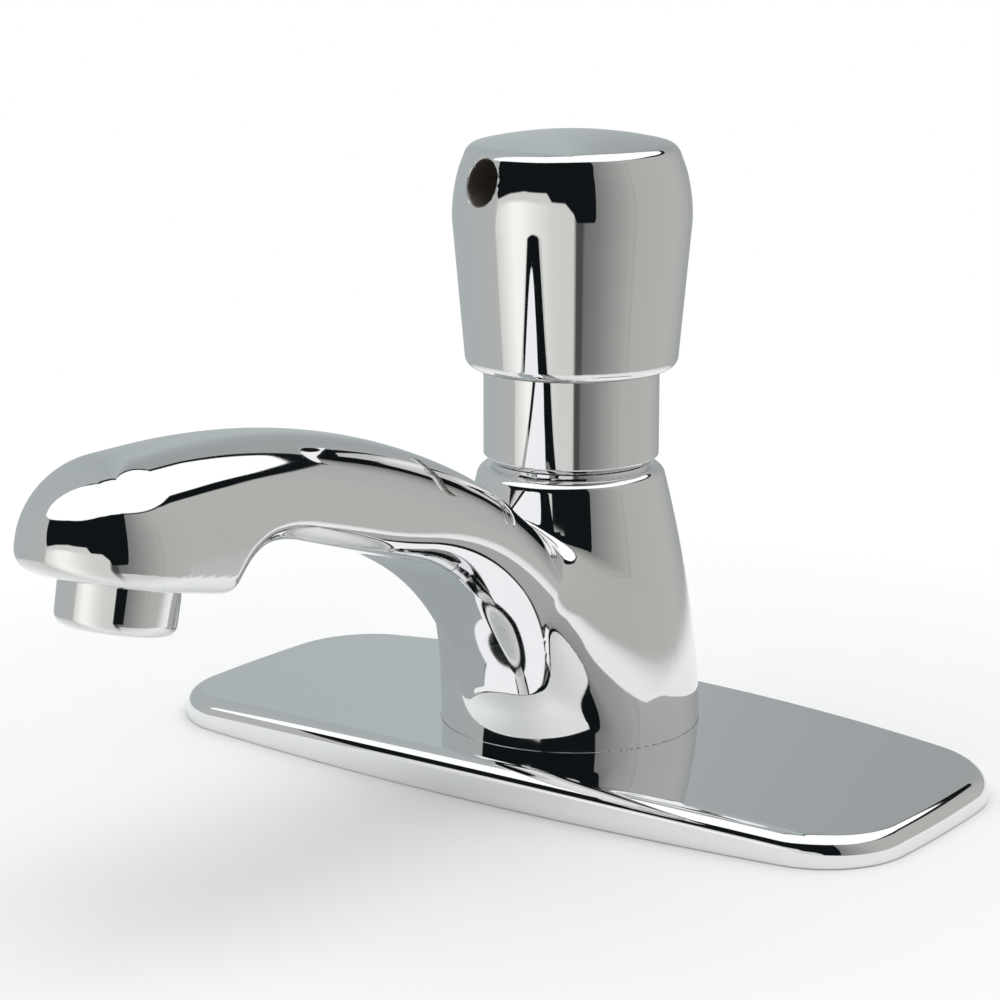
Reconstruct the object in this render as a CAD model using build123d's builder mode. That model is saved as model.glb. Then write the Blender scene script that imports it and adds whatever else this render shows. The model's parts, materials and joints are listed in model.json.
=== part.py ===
"""Push timed basin tap on a cover plate, as an assembly of separate pieces.

Millimetres, +Z up. The origin is where the tap's axis meets the deck that the cover plate
lies on. The spout points along -Y and the plate's length lies along X.
"""

from math import asin, cos, degrees, radians, sin, sqrt, tan
import os

from build123d import *

# Shared clearances
slide_gap = 0.3  # between curved faces of pieces that move past each other
running_gap = 0.05  # a shaft in its bush, or a seal on its wall
seat_gap = 0.1  # a screwed or pressed piece in its hole

# Cover plate
plate_length = 159.0
plate_width = 68.7
plate_height = 7.7  # at the middle
plate_crown = 2.9  # how much lower the top lies at the ends
plate_side_bow = 5.7
plate_end_bow = 1.6
plate_corner = 17.4
plate_edge = 3.4
plate_wall = 3.0
plate_roof = 2.4
plate_boss_wall = 3.0
plate_recess = 0.3  # the shallow seat that the body stands in
deck_gasket_height = 2.3

# Body of the tap
body_base_radius = 24.3
body_top_radius = 16.8
body_top = 56.2
body_rim = 2.0
body_core_wall = 3.4
body_core_height = 12.0
body_core_inner_radius = 13.6
cartridge_bore_radius = 13.0
chamber_radius = 9.0

# Spout, as its side view and its cross section
spout_half_width = 15.45
spout_crown_radius = 15.6
spout_shoulder_radius = 15.3
spout_section_depth = 60.0
spout_top = 80.3
nose_reach = 122.7  # from the tap's axis to the middle of the rounded nose
ridge_flat = 6.5
ridge_radius = 174.5
ridge_angle = 25.5
root_radius = 92.0
root_angle = 14.0
root_overreach = 9.7  # how far past the tap's axis the spout's solid starts
arch_foot_reach = 19.2
arch_foot_height = -7.6  # below the body's foot, where the arch would stand upright
arch_radius = 63.1
arch_run = 31.5
arch_slope = 17.9
arch_crown_radius = 28.2
heel_hollow_radius = 10.4
heel_angle = 43.0
heel_drop = 2.4
heel_radius = 3.6
head_tilt = 13.0
spout_edge = 2.8
waterway_radius = 4.4
waterway_start = 40.0
waterway_reach = 92.0
waterway_height = 71.5
waterway_bend = 7.0

# Aerator in the spout's head, measured along its own tilted axis
aerator_reach = 121.92
aerator_radius = 9.65
aerator_taper = 0.2
aerator_drop = 7.68
aerator_edge = 2.0
aerator_thread_radius = 8.5
aerator_thread_length = 7.2
aerator_bore_radius = 7.2
aerator_lip = 1.2
aerator_seat_depth = 0.4
aerator_washer_height = 1.6
aerator_washer_bore = 4.6
insert_height = 8.0
insert_jet_radius = 0.6
insert_jet_rings = {6: 2.4, 12: 4.8}
screen_height = 0.8
screen_hole_radius = 0.4
screen_rings = {6: 1.6, 12: 3.2, 18: 4.8}

# Inlet shank and what clamps it under the deck
shank_radius = 10.45
shank_bore_radius = 6.0
shank_drop = 54.0
spigot_radius = 12.0  # the plain part that centres the tap in the deck's hole
spigot_length = 12.0
shank_engagement = 7.6
thread_pitch = 1.814
thread_depth = 0.9
deck_thickness = 22.5
rubber_washer_radius = 19.0
rubber_washer_height = 3.0
fixing_washer_height = 1.6
fixing_nut_width = 31.0
fixing_nut_height = 9.5
nut_chamfer_slope = 0.5
inlet_screen_height = 0.8
inlet_screen_depth = 3.0
inlet_hole_radius = 0.6
inlet_rings = {6: 2.0, 12: 4.0}
seal_section = 1.6  # the round rubber rings of shank and cartridge

# Push cartridge
seat_height = 33.0  # the face that the valve washer closes on
seat_ring_height = 3.0
seat_ring_radius = 9.8
seat_hole_radius = 4.6
cartridge_gasket_height = 1.0
cartridge_gasket_bore = 9.3
land_height = 3.5
waist_radius = 10.6
waist_bore_radius = 8.2
seal_land_height = 6.2  # the upper land, which carries the seal
guide_length = 6.0  # of the stem's guide, from the waist's chamber to the spring's floor
port_radius = 3.0
port_count = 4
neck_radius = 14.6
neck_height = 0.8
barrel_radius = 13.8
barrel_bore_radius = 11.5
barrel_height = 36.0
spring_floor_rise = 1.0
cap_play = 0.2  # between the push stem's flange and the cap
cap_flange_height = 2.0
cap_seal_section = 1.3
spanner_hole_radius = 1.0
spanner_hole_depth = 1.5
spanner_hole_reach = 10.4
timing_screw_radius = 1.5
timing_screw_reach = 8.1
timing_screw_length = 7.4
slot_width = 0.6
slot_depth = 0.8
stem_seal_section = 1.5
groove_play = 0.4  # how much wider a groove is than its ring

# Chromed sleeve between the body and the button
sleeve_radius = 16.25
sleeve_rise = 0.4  # over the cap
sleeve_chamfer = 1.25
sleeve_top_chamfer = 0.5

# Moving stack
stroke = 8.0
spring_length = 18.0
piston_height = 8.0
cup_groove_depth = 2.4
cup_height = 2.8
cup_lip = 0.6
cup_floor = 0.9
valve_stem_radius = 2.0
stem_end_gap = 0.6  # left over the shank at the end of the stroke
valve_stem_end = 1.6  # over the piston
stem_collar_radius = 3.2
stem_collar_height = 1.2
clip_height = 0.7
clip_radius = 3.6
clip_groove_depth = 0.4
clip_mouth = 2.6
washer_radius = 7.0
washer_height = 2.4
holder_floor = 1.6
holder_rim = 0.9
holder_wall = 0.9
valve_nut_width = 7.0
valve_nut_height = 2.4
spring_wire_radius = 0.7
spring_radius = 9.9
spring_turns = 5

# Push button
button_lift = 17.6  # its lower edge over the sleeve's
button_bottom_radius = 19.5
button_bevel_height = 8.7
button_wide_radius = 22.35
button_roof = 11.1  # over its hollow, at the bevel's upper edge
button_top_radius = 19.1
button_crown = 2.4
button_wide_fillet = 2.4
button_top_fillet = 1.2
button_bottom_fillet = 1.9
button_gap = 0.65  # between the button's wall and the sleeve
button_stop_gap = 0.8  # left over the sleeve at the end of the stroke
push_stem_radius = 4.5
push_stem_flange_radius = 6.8
push_stem_flange_height = 2.0
push_stem_cover = 3.3  # solid left between the stem and the bevel's upper edge
push_stem_recess_radius = 4.3
push_stem_recess_depth = 1.8
screw_hole_drop = 5.5  # under the bevel's upper edge
screw_hole_radius = 4.15
screw_hole_floor = 9.4  # its distance from the button's axis
screw_turn = -17.2  # where the hole faces, from straight over the spout
set_screw_radius = 3.0
set_screw_length = 4.6
hex_key = 3.0
hex_depth = 2.6
pin_radius = 1.2
pin_engagement = 3.0

# Sizes that follow from the ones above
seat_z = plate_height - plate_recess
shank_top = seat_z + shank_engagement
head_angle = radians(head_tilt)
body_shoulder = seat_height - cartridge_gasket_height
pocket_ceiling = plate_height - plate_roof
pin_place = (0, body_base_radius - body_core_wall / 2)
land_radius = cartridge_bore_radius - seat_gap
neck_top = body_top + neck_height
barrel_top = neck_top + barrel_height
spring_floor = neck_top + spring_floor_rise
piston_bottom = spring_floor + spring_length
piston_top = piston_bottom + piston_height
cap_bottom = piston_top + push_stem_flange_height + cap_play
cap_top = barrel_top + cap_flange_height
cap_seal_height = (cap_bottom + barrel_top) / 2
valve_stem_bottom = shank_top + stroke + stem_end_gap
valve_stem_top = piston_top + valve_stem_end
sleeve_top = cap_top + sleeve_rise
button_bottom = neck_top + button_lift
button_ceiling = sleeve_top + stroke + button_stop_gap
button_top_height = button_ceiling + button_roof
button_wide_height = button_top_height - button_bevel_height
screw_hole_height = button_top_height - screw_hole_drop
push_stem_top = button_top_height - push_stem_cover
piston_radius = barrel_bore_radius - slide_gap


def turned(points):
    """A solid turned about the Z axis from an outline of (radius, height) points."""
    with BuildPart() as turned_part:
        with BuildSketch(Plane.XZ):
            with BuildLine():
                Polyline(*points, close=True)
            make_face()
        revolve(axis=Axis.Z)
    return turned_part


def tube(outer_radius, inner_radius, bottom, top):
    """A plain ring or tube about the Z axis."""
    with BuildPart() as ring:
        with BuildSketch(Plane.XY.offset(bottom)):
            Circle(outer_radius)
            Circle(inner_radius, mode=Mode.SUBTRACT)
        extrude(amount=top - bottom)
    return ring


def o_ring(inner_radius, outer_radius, height):
    """A rubber ring of round section about the Z axis, centred at a height."""
    with BuildPart() as ring:
        with BuildSketch(Plane.XZ):
            with Locations(((inner_radius + outer_radius) / 2, height)):
                Circle((outer_radius - inner_radius) / 2)
        revolve(axis=Axis.Z)
    return ring


def placed(form, plane):
    """The same piece, moved from the world's frame to a plane of its own."""
    with BuildPart() as piece:
        with Locations(plane.location):
            add(form.part)
    return piece


def perforated_disc(radius, height, hole_radius, hole_rings):
    """A disc on the ground plane with a middle hole and rings of holes around it."""
    with BuildPart() as disc:
        with BuildSketch():
            Circle(radius)
            Circle(hole_radius, mode=Mode.SUBTRACT)
            for hole_count, ring_radius in hole_rings.items():
                with PolarLocations(ring_radius, hole_count):
                    Circle(hole_radius, mode=Mode.SUBTRACT)
        extrude(amount=height)
    return disc


def hex_nut(width, height, bore_radius, top):
    """A hexagonal nut under a given height, its corners chamfered at both faces."""
    corner = width / sqrt(3)
    bottom = top - height
    with BuildPart() as nut:
        with BuildSketch(Plane.XY.offset(bottom)):
            RegularPolygon(width / 2, 6, major_radius=False)
            Circle(bore_radius, mode=Mode.SUBTRACT)
        extrude(amount=height)
        with BuildSketch(Plane.XZ):
            with BuildLine():
                chamfer_drop = (corner - width / 2) * nut_chamfer_slope
                Polyline(
                    (0, bottom),
                    (width / 2, bottom),
                    (corner, bottom + chamfer_drop),
                    (corner, top - chamfer_drop),
                    (width / 2, top),
                    (0, top),
                    close=True,
                )
            make_face()
        revolve(axis=Axis.Z, mode=Mode.INTERSECT)
    return nut


def plate_form(inset, lowering):
    """The plate's solid shape, drawn in by an inset and lowered at its top."""
    half_length = plate_length / 2 - inset
    half_width = plate_width / 2 - inset
    corner_x = half_length - plate_end_bow
    corner_y = half_width - plate_side_bow
    with BuildPart() as form:
        with BuildSketch():
            with BuildLine():
                ThreePointArc((corner_x, corner_y), (0, half_width), (-corner_x, corner_y))
                ThreePointArc((-corner_x, corner_y), (-half_length, 0), (-corner_x, -corner_y))
                ThreePointArc((-corner_x, -corner_y), (0, -half_width), (corner_x, -corner_y))
                ThreePointArc((corner_x, -corner_y), (half_length, 0), (corner_x, corner_y))
            plate_face = make_face()
            fillet(plate_face.vertices(), radius=plate_corner - inset)
        extrude(amount=plate_height)
        with BuildSketch(Plane.XZ):
            with BuildLine():
                end_height = plate_height - plate_crown - lowering
                ThreePointArc(
                    (-half_length, end_height), (0, plate_height - lowering), (half_length, end_height)
                )
                Polyline(
                    (-half_length, end_height), (-half_length, 0), (half_length, 0), (half_length, end_height)
                )
            make_face()
        extrude(amount=half_width, both=True, mode=Mode.INTERSECT)
    return form


def spout_outline(half):
    """The spout's cross section under its ridge: crown, shoulders and straight sides."""
    crown_half_angle = degrees(asin(
        (spout_half_width - spout_shoulder_radius) / (spout_crown_radius - spout_shoulder_radius)
    ))
    shoulder_drop = spout_crown_radius - (
        spout_crown_radius - spout_shoulder_radius
    ) * cos(radians(crown_half_angle))
    side = Line(
        (spout_half_width, -spout_section_depth), (spout_half_width, -shoulder_drop)
    )
    shoulder = JernArc(side @ 1, side % 1, spout_shoulder_radius, 90 - crown_half_angle)
    if half:
        crown = JernArc(shoulder @ 1, shoulder % 1, spout_crown_radius, crown_half_angle)
        Line(crown @ 1, (0, -spout_section_depth))
        Line((0, -spout_section_depth), (spout_half_width, -spout_section_depth))
    else:
        crown = JernArc(shoulder @ 1, shoulder % 1, spout_crown_radius, 2 * crown_half_angle)
        far_shoulder = JernArc(crown @ 1, crown % 1, spout_shoulder_radius, 90 - crown_half_angle)
        Line(far_shoulder @ 1, (-spout_half_width, -spout_section_depth))
        Line((-spout_half_width, -spout_section_depth), (spout_half_width, -spout_section_depth))


def helix_coil(radius, wire_radius, bottom, top, turns):
    """A coil spring swept on pairs of arcs, a quarter turn each, and its least gap to itself."""
    steps = turns * 4
    rise = (top - bottom - 2 * wire_radius) / steps
    quarter = radians(90)

    def place(step):
        angle = step * quarter
        return Vector(radius * cos(angle), radius * sin(angle), bottom + wire_radius + step * rise)

    def heading(step):
        angle = step * quarter
        return Vector(-radius * sin(angle), radius * cos(angle), rise / quarter).normalized()

    with BuildPart() as coil:
        with BuildLine() as path:
            for step in range(steps):
                start, end = place(step), place(step + 1)
                tangent, next_tangent = heading(step), heading(step + 1)
                chord = end - start
                both = tangent + next_tangent
                spread = 2 * (1 - tangent.dot(next_tangent))
                along = chord.dot(both)
                reach = (sqrt(along * along + spread * chord.dot(chord)) - along) / spread
                middle = (start + end + (tangent - next_tangent) * reach) * 0.5
                first = TangentArc(start, middle, tangent=tangent)
                TangentArc(middle, end, tangent=first % 1)
        with BuildSketch(Plane(origin=place(0), x_dir=(1, 0, 0), z_dir=heading(0))):
            Circle(wire_radius)
        sweep(path=path.line)
    print("spring: least gap between turns", round(4 * rise * cos(asin(
        min(1, 4 * rise / (2 * 3.1416 * radius)))) - 2 * wire_radius, 2), "mm")
    return coil


# Cover plate
pocket = plate_form(plate_wall, plate_roof)
boss_radius = shank_radius + slide_gap + plate_boss_wall
with BuildPart() as deck_plate:
    add(plate_form(0, 0).part)
    fillet(deck_plate.faces().sort_by(Axis.Z)[-1].edges(), radius=plate_edge)
    add(pocket.part, mode=Mode.SUBTRACT)
    with BuildSketch():
        Circle(boss_radius)
    extrude(amount=pocket_ceiling)
    with BuildSketch():
        Circle(shank_radius + slide_gap)
    extrude(amount=plate_height, mode=Mode.SUBTRACT)
    with BuildSketch(Plane.XY.offset(seat_z)):
        Circle(body_base_radius + seat_gap)
    extrude(amount=plate_recess, mode=Mode.SUBTRACT)
    with BuildSketch():
        with Locations(pin_place):
            Circle(pin_radius + seat_gap)
    extrude(amount=plate_height, mode=Mode.SUBTRACT)

with BuildPart() as deck_gasket:
    gasket_form = plate_form(plate_wall + slide_gap, plate_roof)
    add(gasket_form.part)
    with BuildSketch(Plane.XY.offset(deck_gasket_height)):
        Rectangle(plate_length, plate_width)
    extrude(amount=plate_height, mode=Mode.SUBTRACT)
    with BuildSketch():
        Circle(boss_radius + slide_gap)
    extrude(amount=plate_height, mode=Mode.SUBTRACT)

# Spout, made apart from the body
bend_y = -(nose_reach - ridge_flat) + ridge_radius * sin(radians(ridge_angle))
bend_z = spout_top - ridge_radius * (1 - cos(radians(ridge_angle)))
steep = radians(ridge_angle + root_angle)
root_y = bend_y + root_radius * (sin(steep) - sin(radians(ridge_angle)))
root_z = bend_z - root_radius * (cos(radians(ridge_angle)) - cos(steep))
start_y = root_overreach
start_z = root_z - (root_overreach - root_y) * tan(steep)
with BuildPart() as spout:
    with BuildLine(Plane.YZ) as ridge:
        root_line = Line((start_y, start_z), (root_y, root_z))
        root_arc = JernArc(root_line @ 1, root_line % 1, root_radius, root_angle)
        long_arc = JernArc(root_arc @ 1, root_arc % 1, ridge_radius, ridge_angle)
        Line(long_arc @ 1, (-nose_reach, spout_top))
    with BuildSketch(Plane(origin=(0, start_y, start_z), x_dir=(1, 0, 0), z_dir=root_line % 1)):
        with BuildLine():
            spout_outline(half=False)
        make_face()
    sweep(path=ridge.line)
    nose_plane = Plane(origin=(0, -nose_reach, spout_top), x_dir=(-1, 0, 0), z_dir=(0, 1, 0))
    with BuildSketch(nose_plane):
        with BuildLine():
            spout_outline(half=True)
        make_face()
    revolve(axis=Axis((0, -nose_reach, 0), (0, 0, 1)), revolution_arc=180)
    with BuildSketch(Plane.YZ):
        with BuildLine():
            foot = Line((-arch_foot_reach, -spout_section_depth), (-arch_foot_reach, arch_foot_height))
            arch = JernArc(foot @ 1, foot % 1, arch_radius, 90 - arch_slope)
            run = Line(arch @ 1, (arch @ 1) + (arch % 1) * arch_run)
            arch_crown = JernArc(run @ 1, run % 1, arch_crown_radius, arch_slope)
            hollow = JernArc(arch_crown @ 1, arch_crown % 1, heel_hollow_radius, heel_angle)
            drop = Line(hollow @ 1, (hollow @ 1) + (hollow % 1) * heel_drop)
            heel = JernArc(drop @ 1, drop % 1, heel_radius, -(heel_angle + head_tilt))
            head_run = Line(heel @ 1, (heel @ 1) + (heel % 1) * spout_section_depth)
            far_corner = ((head_run @ 1).X, -spout_section_depth)
            Line(head_run @ 1, far_corner)
            Line(far_corner, foot @ 0)
        make_face()
    revolve(axis=Axis.Z, mode=Mode.SUBTRACT)
    with BuildSketch(Plane.XZ):
        Rectangle(plate_length, plate_length * 2)
    extrude(amount=-plate_length, mode=Mode.SUBTRACT)
    with BuildSketch(Plane.XY.offset(seat_z)):
        Rectangle(plate_length, plate_length * 2)
    extrude(amount=-plate_length, mode=Mode.SUBTRACT)
    heel_end = heel @ 1
    under_faces = spout.faces().filter_by(
        lambda face: face.normal_at().Z < -sin(head_angle) / 2 and face.center().Z > seat_z + spout_edge
    )
    side_faces = spout.faces().filter_by(lambda face: face not in under_faces)
    side_edges = side_faces.edges()
    under_edges = [
        edge for edge in under_faces.edges() if edge in side_edges and edge.center().Y < -body_base_radius
    ]
    fillet(under_edges, radius=spout_edge)

# Aerator's own frame: its origin on the head's underside, its Z axis up into the head
aerator_z = heel_end.Y + (aerator_reach + heel_end.X) * sin(head_angle) / cos(head_angle)
aerator_plane = Plane(
    origin=(0, -aerator_reach, aerator_z), x_dir=(1, 0, 0), z_dir=(0, sin(head_angle), cos(head_angle))
)
aerator_shoulder = aerator_seat_depth
thread_top = aerator_shoulder + aerator_thread_length
socket_roof = thread_top + aerator_washer_height

# Tap body: the turned body with the spout, hollowed for cartridge, water and aerator
with BuildPart() as tap_body:
    with BuildSketch(Plane.XZ):
        with BuildLine():
            body_foot = Line((0, seat_z), (body_base_radius, seat_z))
            flank = TangentArc(body_foot @ 1, (body_top_radius, body_top), tangent=(0, 1))
            Polyline(flank @ 1, (0, body_top), (0, seat_z))
        make_face()
    revolve(axis=Axis.Z)
    fillet(tap_body.edges().filter_by(GeomType.CIRCLE).sort_by(Axis.Z)[-1], radius=body_rim)
    add(spout.part)
    # Core recess under the body, and the hole for the pin
    with BuildSketch(Plane.XY.offset(seat_z)):
        Circle(body_base_radius - body_core_wall)
        Circle(body_core_inner_radius, mode=Mode.SUBTRACT)
    extrude(amount=body_core_height, mode=Mode.SUBTRACT)
    with BuildSketch(Plane.XY.offset(seat_z)):
        with Locations(pin_place):
            Circle(pin_radius + seat_gap)
    extrude(amount=pin_engagement, mode=Mode.SUBTRACT)

    # Shank socket, chamber and cartridge bore on one axis
    bores = [
        (shank_radius + seat_gap, seat_z, shank_top),
        (chamber_radius, shank_top, body_shoulder),
        (cartridge_bore_radius, body_shoulder, body_top),
    ]
    for radius, bottom, top in bores:
        with BuildSketch(Plane.XY.offset(bottom)):
            Circle(radius)
        extrude(amount=top - bottom, mode=Mode.SUBTRACT)

    # Waterway from the cartridge to the aerator
    with BuildLine(Plane.YZ) as water_path:
        drop_y = -aerator_reach + (waterway_height - aerator_z) * sin(head_angle) / cos(head_angle)
        socket_point = aerator_plane.from_local_coords(Vector(0, 0, aerator_thread_length / 2))
        FilletPolyline(
            (0, waterway_start),
            (-waterway_reach, waterway_height),
            (drop_y, waterway_height),
            (socket_point.Y, socket_point.Z),
            radius=waterway_bend,
        )
    water_start = water_path.line @ 0
    with BuildSketch(Plane(origin=water_start, x_dir=(1, 0, 0), z_dir=water_path.line % 0)):
        Circle(waterway_radius)
    sweep(path=water_path.line, mode=Mode.SUBTRACT)

    # Aerator's socket and the flat that its shoulder seats on
    with BuildSketch(aerator_plane):
        Circle(aerator_thread_radius + seat_gap)
    extrude(amount=socket_roof, mode=Mode.SUBTRACT)
    with BuildSketch(aerator_plane.offset(aerator_shoulder)):
        Circle(aerator_radius + seat_gap)
    extrude(amount=-aerator_drop, mode=Mode.SUBTRACT)

anti_rotation_pin = turned([
    (0, pocket_ceiling),
    (pin_radius, pocket_ceiling),
    (pin_radius, seat_z + pin_engagement),
    (0, seat_z + pin_engagement),
])
anti_rotation_pin = placed(anti_rotation_pin, Plane(origin=(*pin_place, 0)))

# Inlet shank: plain above, threaded below, with a groove for its seal in the body
thread_count = int((shank_drop - spigot_length) / thread_pitch)
shank_seal_z = (seat_z + shank_top) / 2
shank_groove = (seal_section + groove_play) / 2
seal_floor = shank_radius + seat_gap - seal_section
shank_outline = [(shank_bore_radius, -shank_drop)]
for step in range(thread_count):
    root = -shank_drop + step * thread_pitch
    shank_outline += [(shank_radius - thread_depth, root), (shank_radius, root + thread_pitch / 2)]
shank_outline += [
    (shank_radius - thread_depth, -shank_drop + thread_count * thread_pitch),
    (spigot_radius, -spigot_length),
    (spigot_radius, 0),
    (shank_radius, 0),
    (shank_radius, shank_seal_z - shank_groove),
    (seal_floor, shank_seal_z - shank_groove),
    (seal_floor, shank_seal_z + shank_groove),
    (shank_radius, shank_seal_z + shank_groove),
    (shank_radius, shank_top),
    (shank_bore_radius, shank_top),
]
inlet_shank = turned(shank_outline)
shank_o_ring = o_ring(seal_floor, shank_radius + running_gap, shank_seal_z)
inlet_screen = perforated_disc(
    shank_bore_radius - seat_gap, inlet_screen_height, inlet_hole_radius, inlet_rings
)
inlet_screen = placed(inlet_screen, Plane.XY.offset(inlet_screen_depth - shank_drop))

# Clamping under the deck
rubber_bottom = -deck_thickness - rubber_washer_height
nut_top = rubber_bottom - fixing_washer_height
rubber_washer = tube(rubber_washer_radius, shank_radius + slide_gap, rubber_bottom, -deck_thickness)
fixing_washer = tube(rubber_washer_radius, shank_radius + slide_gap, nut_top, rubber_bottom)
fixing_nut = hex_nut(fixing_nut_width, fixing_nut_height, shank_radius + seat_gap, nut_top)

# Cartridge: gasket, seat ring and housing
waist_bottom = seat_height + land_height
waist_top = body_top - seal_land_height
seal_z = (waist_top + body_top) / 2
seal_groove = (seal_section + groove_play) / 2
land_groove_radius = cartridge_bore_radius - seal_section
seat_roof = seat_height + seat_ring_height
chamber_roof = spring_floor - guide_length
cartridge_gasket = tube(
    land_radius - seat_gap, cartridge_gasket_bore, body_shoulder, seat_height
)
valve_seat = tube(seat_ring_radius, seat_hole_radius, seat_height, seat_roof)
guide_radius = valve_stem_radius + running_gap
housing_form = turned([
    (seat_ring_radius + seat_gap, seat_height),
    (land_radius, seat_height),
    (land_radius, waist_bottom),
    (waist_radius, waist_bottom),
    (waist_radius, waist_top),
    (land_radius, waist_top),
    (land_radius, seal_z - seal_groove),
    (land_groove_radius, seal_z - seal_groove),
    (land_groove_radius, seal_z + seal_groove),
    (land_radius, seal_z + seal_groove),
    (land_radius, body_top),
    (neck_radius, body_top),
    (neck_radius, neck_top),
    (barrel_radius, neck_top),
    (barrel_radius, barrel_top),
    (barrel_bore_radius, barrel_top),
    (barrel_bore_radius, spring_floor),
    (guide_radius, spring_floor),
    (guide_radius, chamber_roof),
    (waist_bore_radius, chamber_roof),
    (waist_bore_radius, seat_roof),
    (seat_ring_radius + seat_gap, seat_roof),
])
with BuildPart() as cartridge_housing:
    add(housing_form.part)
    port_angle = 180 / port_count
    for port in range(port_count):
        angle = radians(port_angle + port * 360 / port_count)
        heading = (cos(angle), sin(angle), 0)
        with BuildSketch(Plane(origin=(0, 0, (waist_bottom + waist_top) / 2), z_dir=heading)):
            Circle(port_radius)
        extrude(amount=cartridge_bore_radius, mode=Mode.SUBTRACT)
cartridge_o_ring = o_ring(land_groove_radius, cartridge_bore_radius - running_gap, seal_z)

# Cap that closes the cartridge, with its seals and the screw that sets the time
cap_groove_radius = barrel_bore_radius - cap_seal_section
cap_groove = (cap_seal_section + groove_play) / 2
stem_groove_radius = push_stem_radius + running_gap + stem_seal_section
stem_groove = (stem_seal_section + groove_play) / 2
cap_radius = barrel_bore_radius - seat_gap
cap_form = turned([
    (push_stem_radius + running_gap, cap_bottom),
    (cap_radius, cap_bottom),
    (cap_radius, cap_seal_height - cap_groove),
    (cap_groove_radius, cap_seal_height - cap_groove),
    (cap_groove_radius, cap_seal_height + cap_groove),
    (cap_radius, cap_seal_height + cap_groove),
    (cap_radius, barrel_top),
    (barrel_radius, barrel_top),
    (barrel_radius, cap_top),
    (push_stem_radius + running_gap, cap_top),
    (push_stem_radius + running_gap, cap_seal_height + stem_groove),
    (stem_groove_radius, cap_seal_height + stem_groove),
    (stem_groove_radius, cap_seal_height - stem_groove),
    (push_stem_radius + running_gap, cap_seal_height - stem_groove),
])
with BuildPart() as cartridge_cap:
    add(cap_form.part)
    with BuildSketch(Plane.XY.offset(cap_bottom)):
        with Locations((timing_screw_reach, 0)):
            Circle(timing_screw_radius + seat_gap)
    extrude(amount=cap_top - cap_bottom, mode=Mode.SUBTRACT)
    with BuildSketch(Plane.XY.offset(cap_top)):
        with Locations((0, spanner_hole_reach), (0, -spanner_hole_reach)):
            Circle(spanner_hole_radius)
    extrude(amount=-spanner_hole_depth, mode=Mode.SUBTRACT)
cap_o_ring = o_ring(cap_groove_radius, barrel_bore_radius - running_gap, cap_seal_height)
stem_o_ring = o_ring(push_stem_radius + running_gap, stem_groove_radius, cap_seal_height)
screw_top = cap_top - slot_width
with BuildPart() as timing_screw:
    with BuildSketch(Plane.XY.offset(screw_top)):
        with Locations((timing_screw_reach, 0)):
            Circle(timing_screw_radius)
    extrude(amount=-timing_screw_length)
    with BuildSketch(Plane.XY.offset(screw_top)):
        with Locations((timing_screw_reach, 0)):
            Rectangle(4 * timing_screw_radius, slot_width)
    extrude(amount=-slot_depth, mode=Mode.SUBTRACT)

# Chromed sleeve over the cartridge
sleeve_bore = barrel_radius + seat_gap
bonnet_sleeve = turned([
    (sleeve_bore, neck_top),
    (sleeve_radius - sleeve_chamfer, neck_top),
    (sleeve_radius, neck_top + sleeve_chamfer),
    (sleeve_radius, sleeve_top - sleeve_top_chamfer),
    (sleeve_radius - sleeve_top_chamfer, sleeve_top),
    (sleeve_bore, sleeve_top),
])

# Moving stack: valve washer, its holder and nut on the stem
washer_bottom = seat_height - washer_height
holder_bottom = washer_bottom - holder_floor
stem_hole = valve_stem_radius + seat_gap
valve_washer = tube(washer_radius, stem_hole, washer_bottom, seat_height)
holder_bore = washer_radius + seat_gap
washer_holder = turned([
    (stem_hole, holder_bottom),
    (holder_bore + holder_wall, holder_bottom),
    (holder_bore + holder_wall, washer_bottom + holder_rim),
    (holder_bore, washer_bottom + holder_rim),
    (holder_bore, washer_bottom),
    (stem_hole, washer_bottom),
])
valve_nut = hex_nut(valve_nut_width, valve_nut_height, stem_hole, holder_bottom)

# Stem, piston with its lip seal, and the clip that joins them
clip_groove_radius = valve_stem_radius - clip_groove_depth
valve_stem = turned([
    (0, valve_stem_bottom),
    (valve_stem_radius, valve_stem_bottom),
    (valve_stem_radius, piston_bottom - stem_collar_height),
    (stem_collar_radius, piston_bottom - stem_collar_height),
    (stem_collar_radius, piston_bottom),
    (valve_stem_radius, piston_bottom),
    (valve_stem_radius, piston_top),
    (clip_groove_radius, piston_top),
    (clip_groove_radius, piston_top + clip_height),
    (valve_stem_radius, piston_top + clip_height),
    (valve_stem_radius, valve_stem_top),
    (0, valve_stem_top),
])
cup_bottom = (piston_bottom + piston_top - cup_height) / 2
cup_seat_radius = piston_radius - cup_groove_depth
piston = turned([
    (stem_hole, piston_bottom),
    (piston_radius, piston_bottom),
    (piston_radius, cup_bottom),
    (cup_seat_radius, cup_bottom),
    (cup_seat_radius, cup_bottom + cup_height),
    (piston_radius, cup_bottom + cup_height),
    (piston_radius, piston_top),
    (stem_hole, piston_top),
])
cup_inner = cup_seat_radius + running_gap
cup_top = cup_bottom + cup_height - seat_gap
lip_radius = barrel_bore_radius - running_gap
cup_seal = turned([
    (cup_inner, cup_bottom),
    (piston_radius, cup_bottom),
    (lip_radius, cup_top),
    (lip_radius - cup_lip, cup_top),
    (piston_radius - cup_lip, cup_bottom + cup_floor),
    (cup_inner + cup_lip, cup_bottom + cup_floor),
    (cup_inner + cup_lip, cup_top),
    (cup_inner, cup_top),
])
with BuildPart() as piston_clip:
    with BuildSketch(Plane.XY.offset(piston_top)):
        Circle(clip_radius)
        Circle(clip_groove_radius + running_gap, mode=Mode.SUBTRACT)
        with Locations((0, clip_radius)):
            Rectangle(clip_mouth, 2 * clip_radius, mode=Mode.SUBTRACT)
    extrude(amount=clip_height)
return_spring = helix_coil(spring_radius, spring_wire_radius, spring_floor, piston_bottom, spring_turns)

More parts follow.
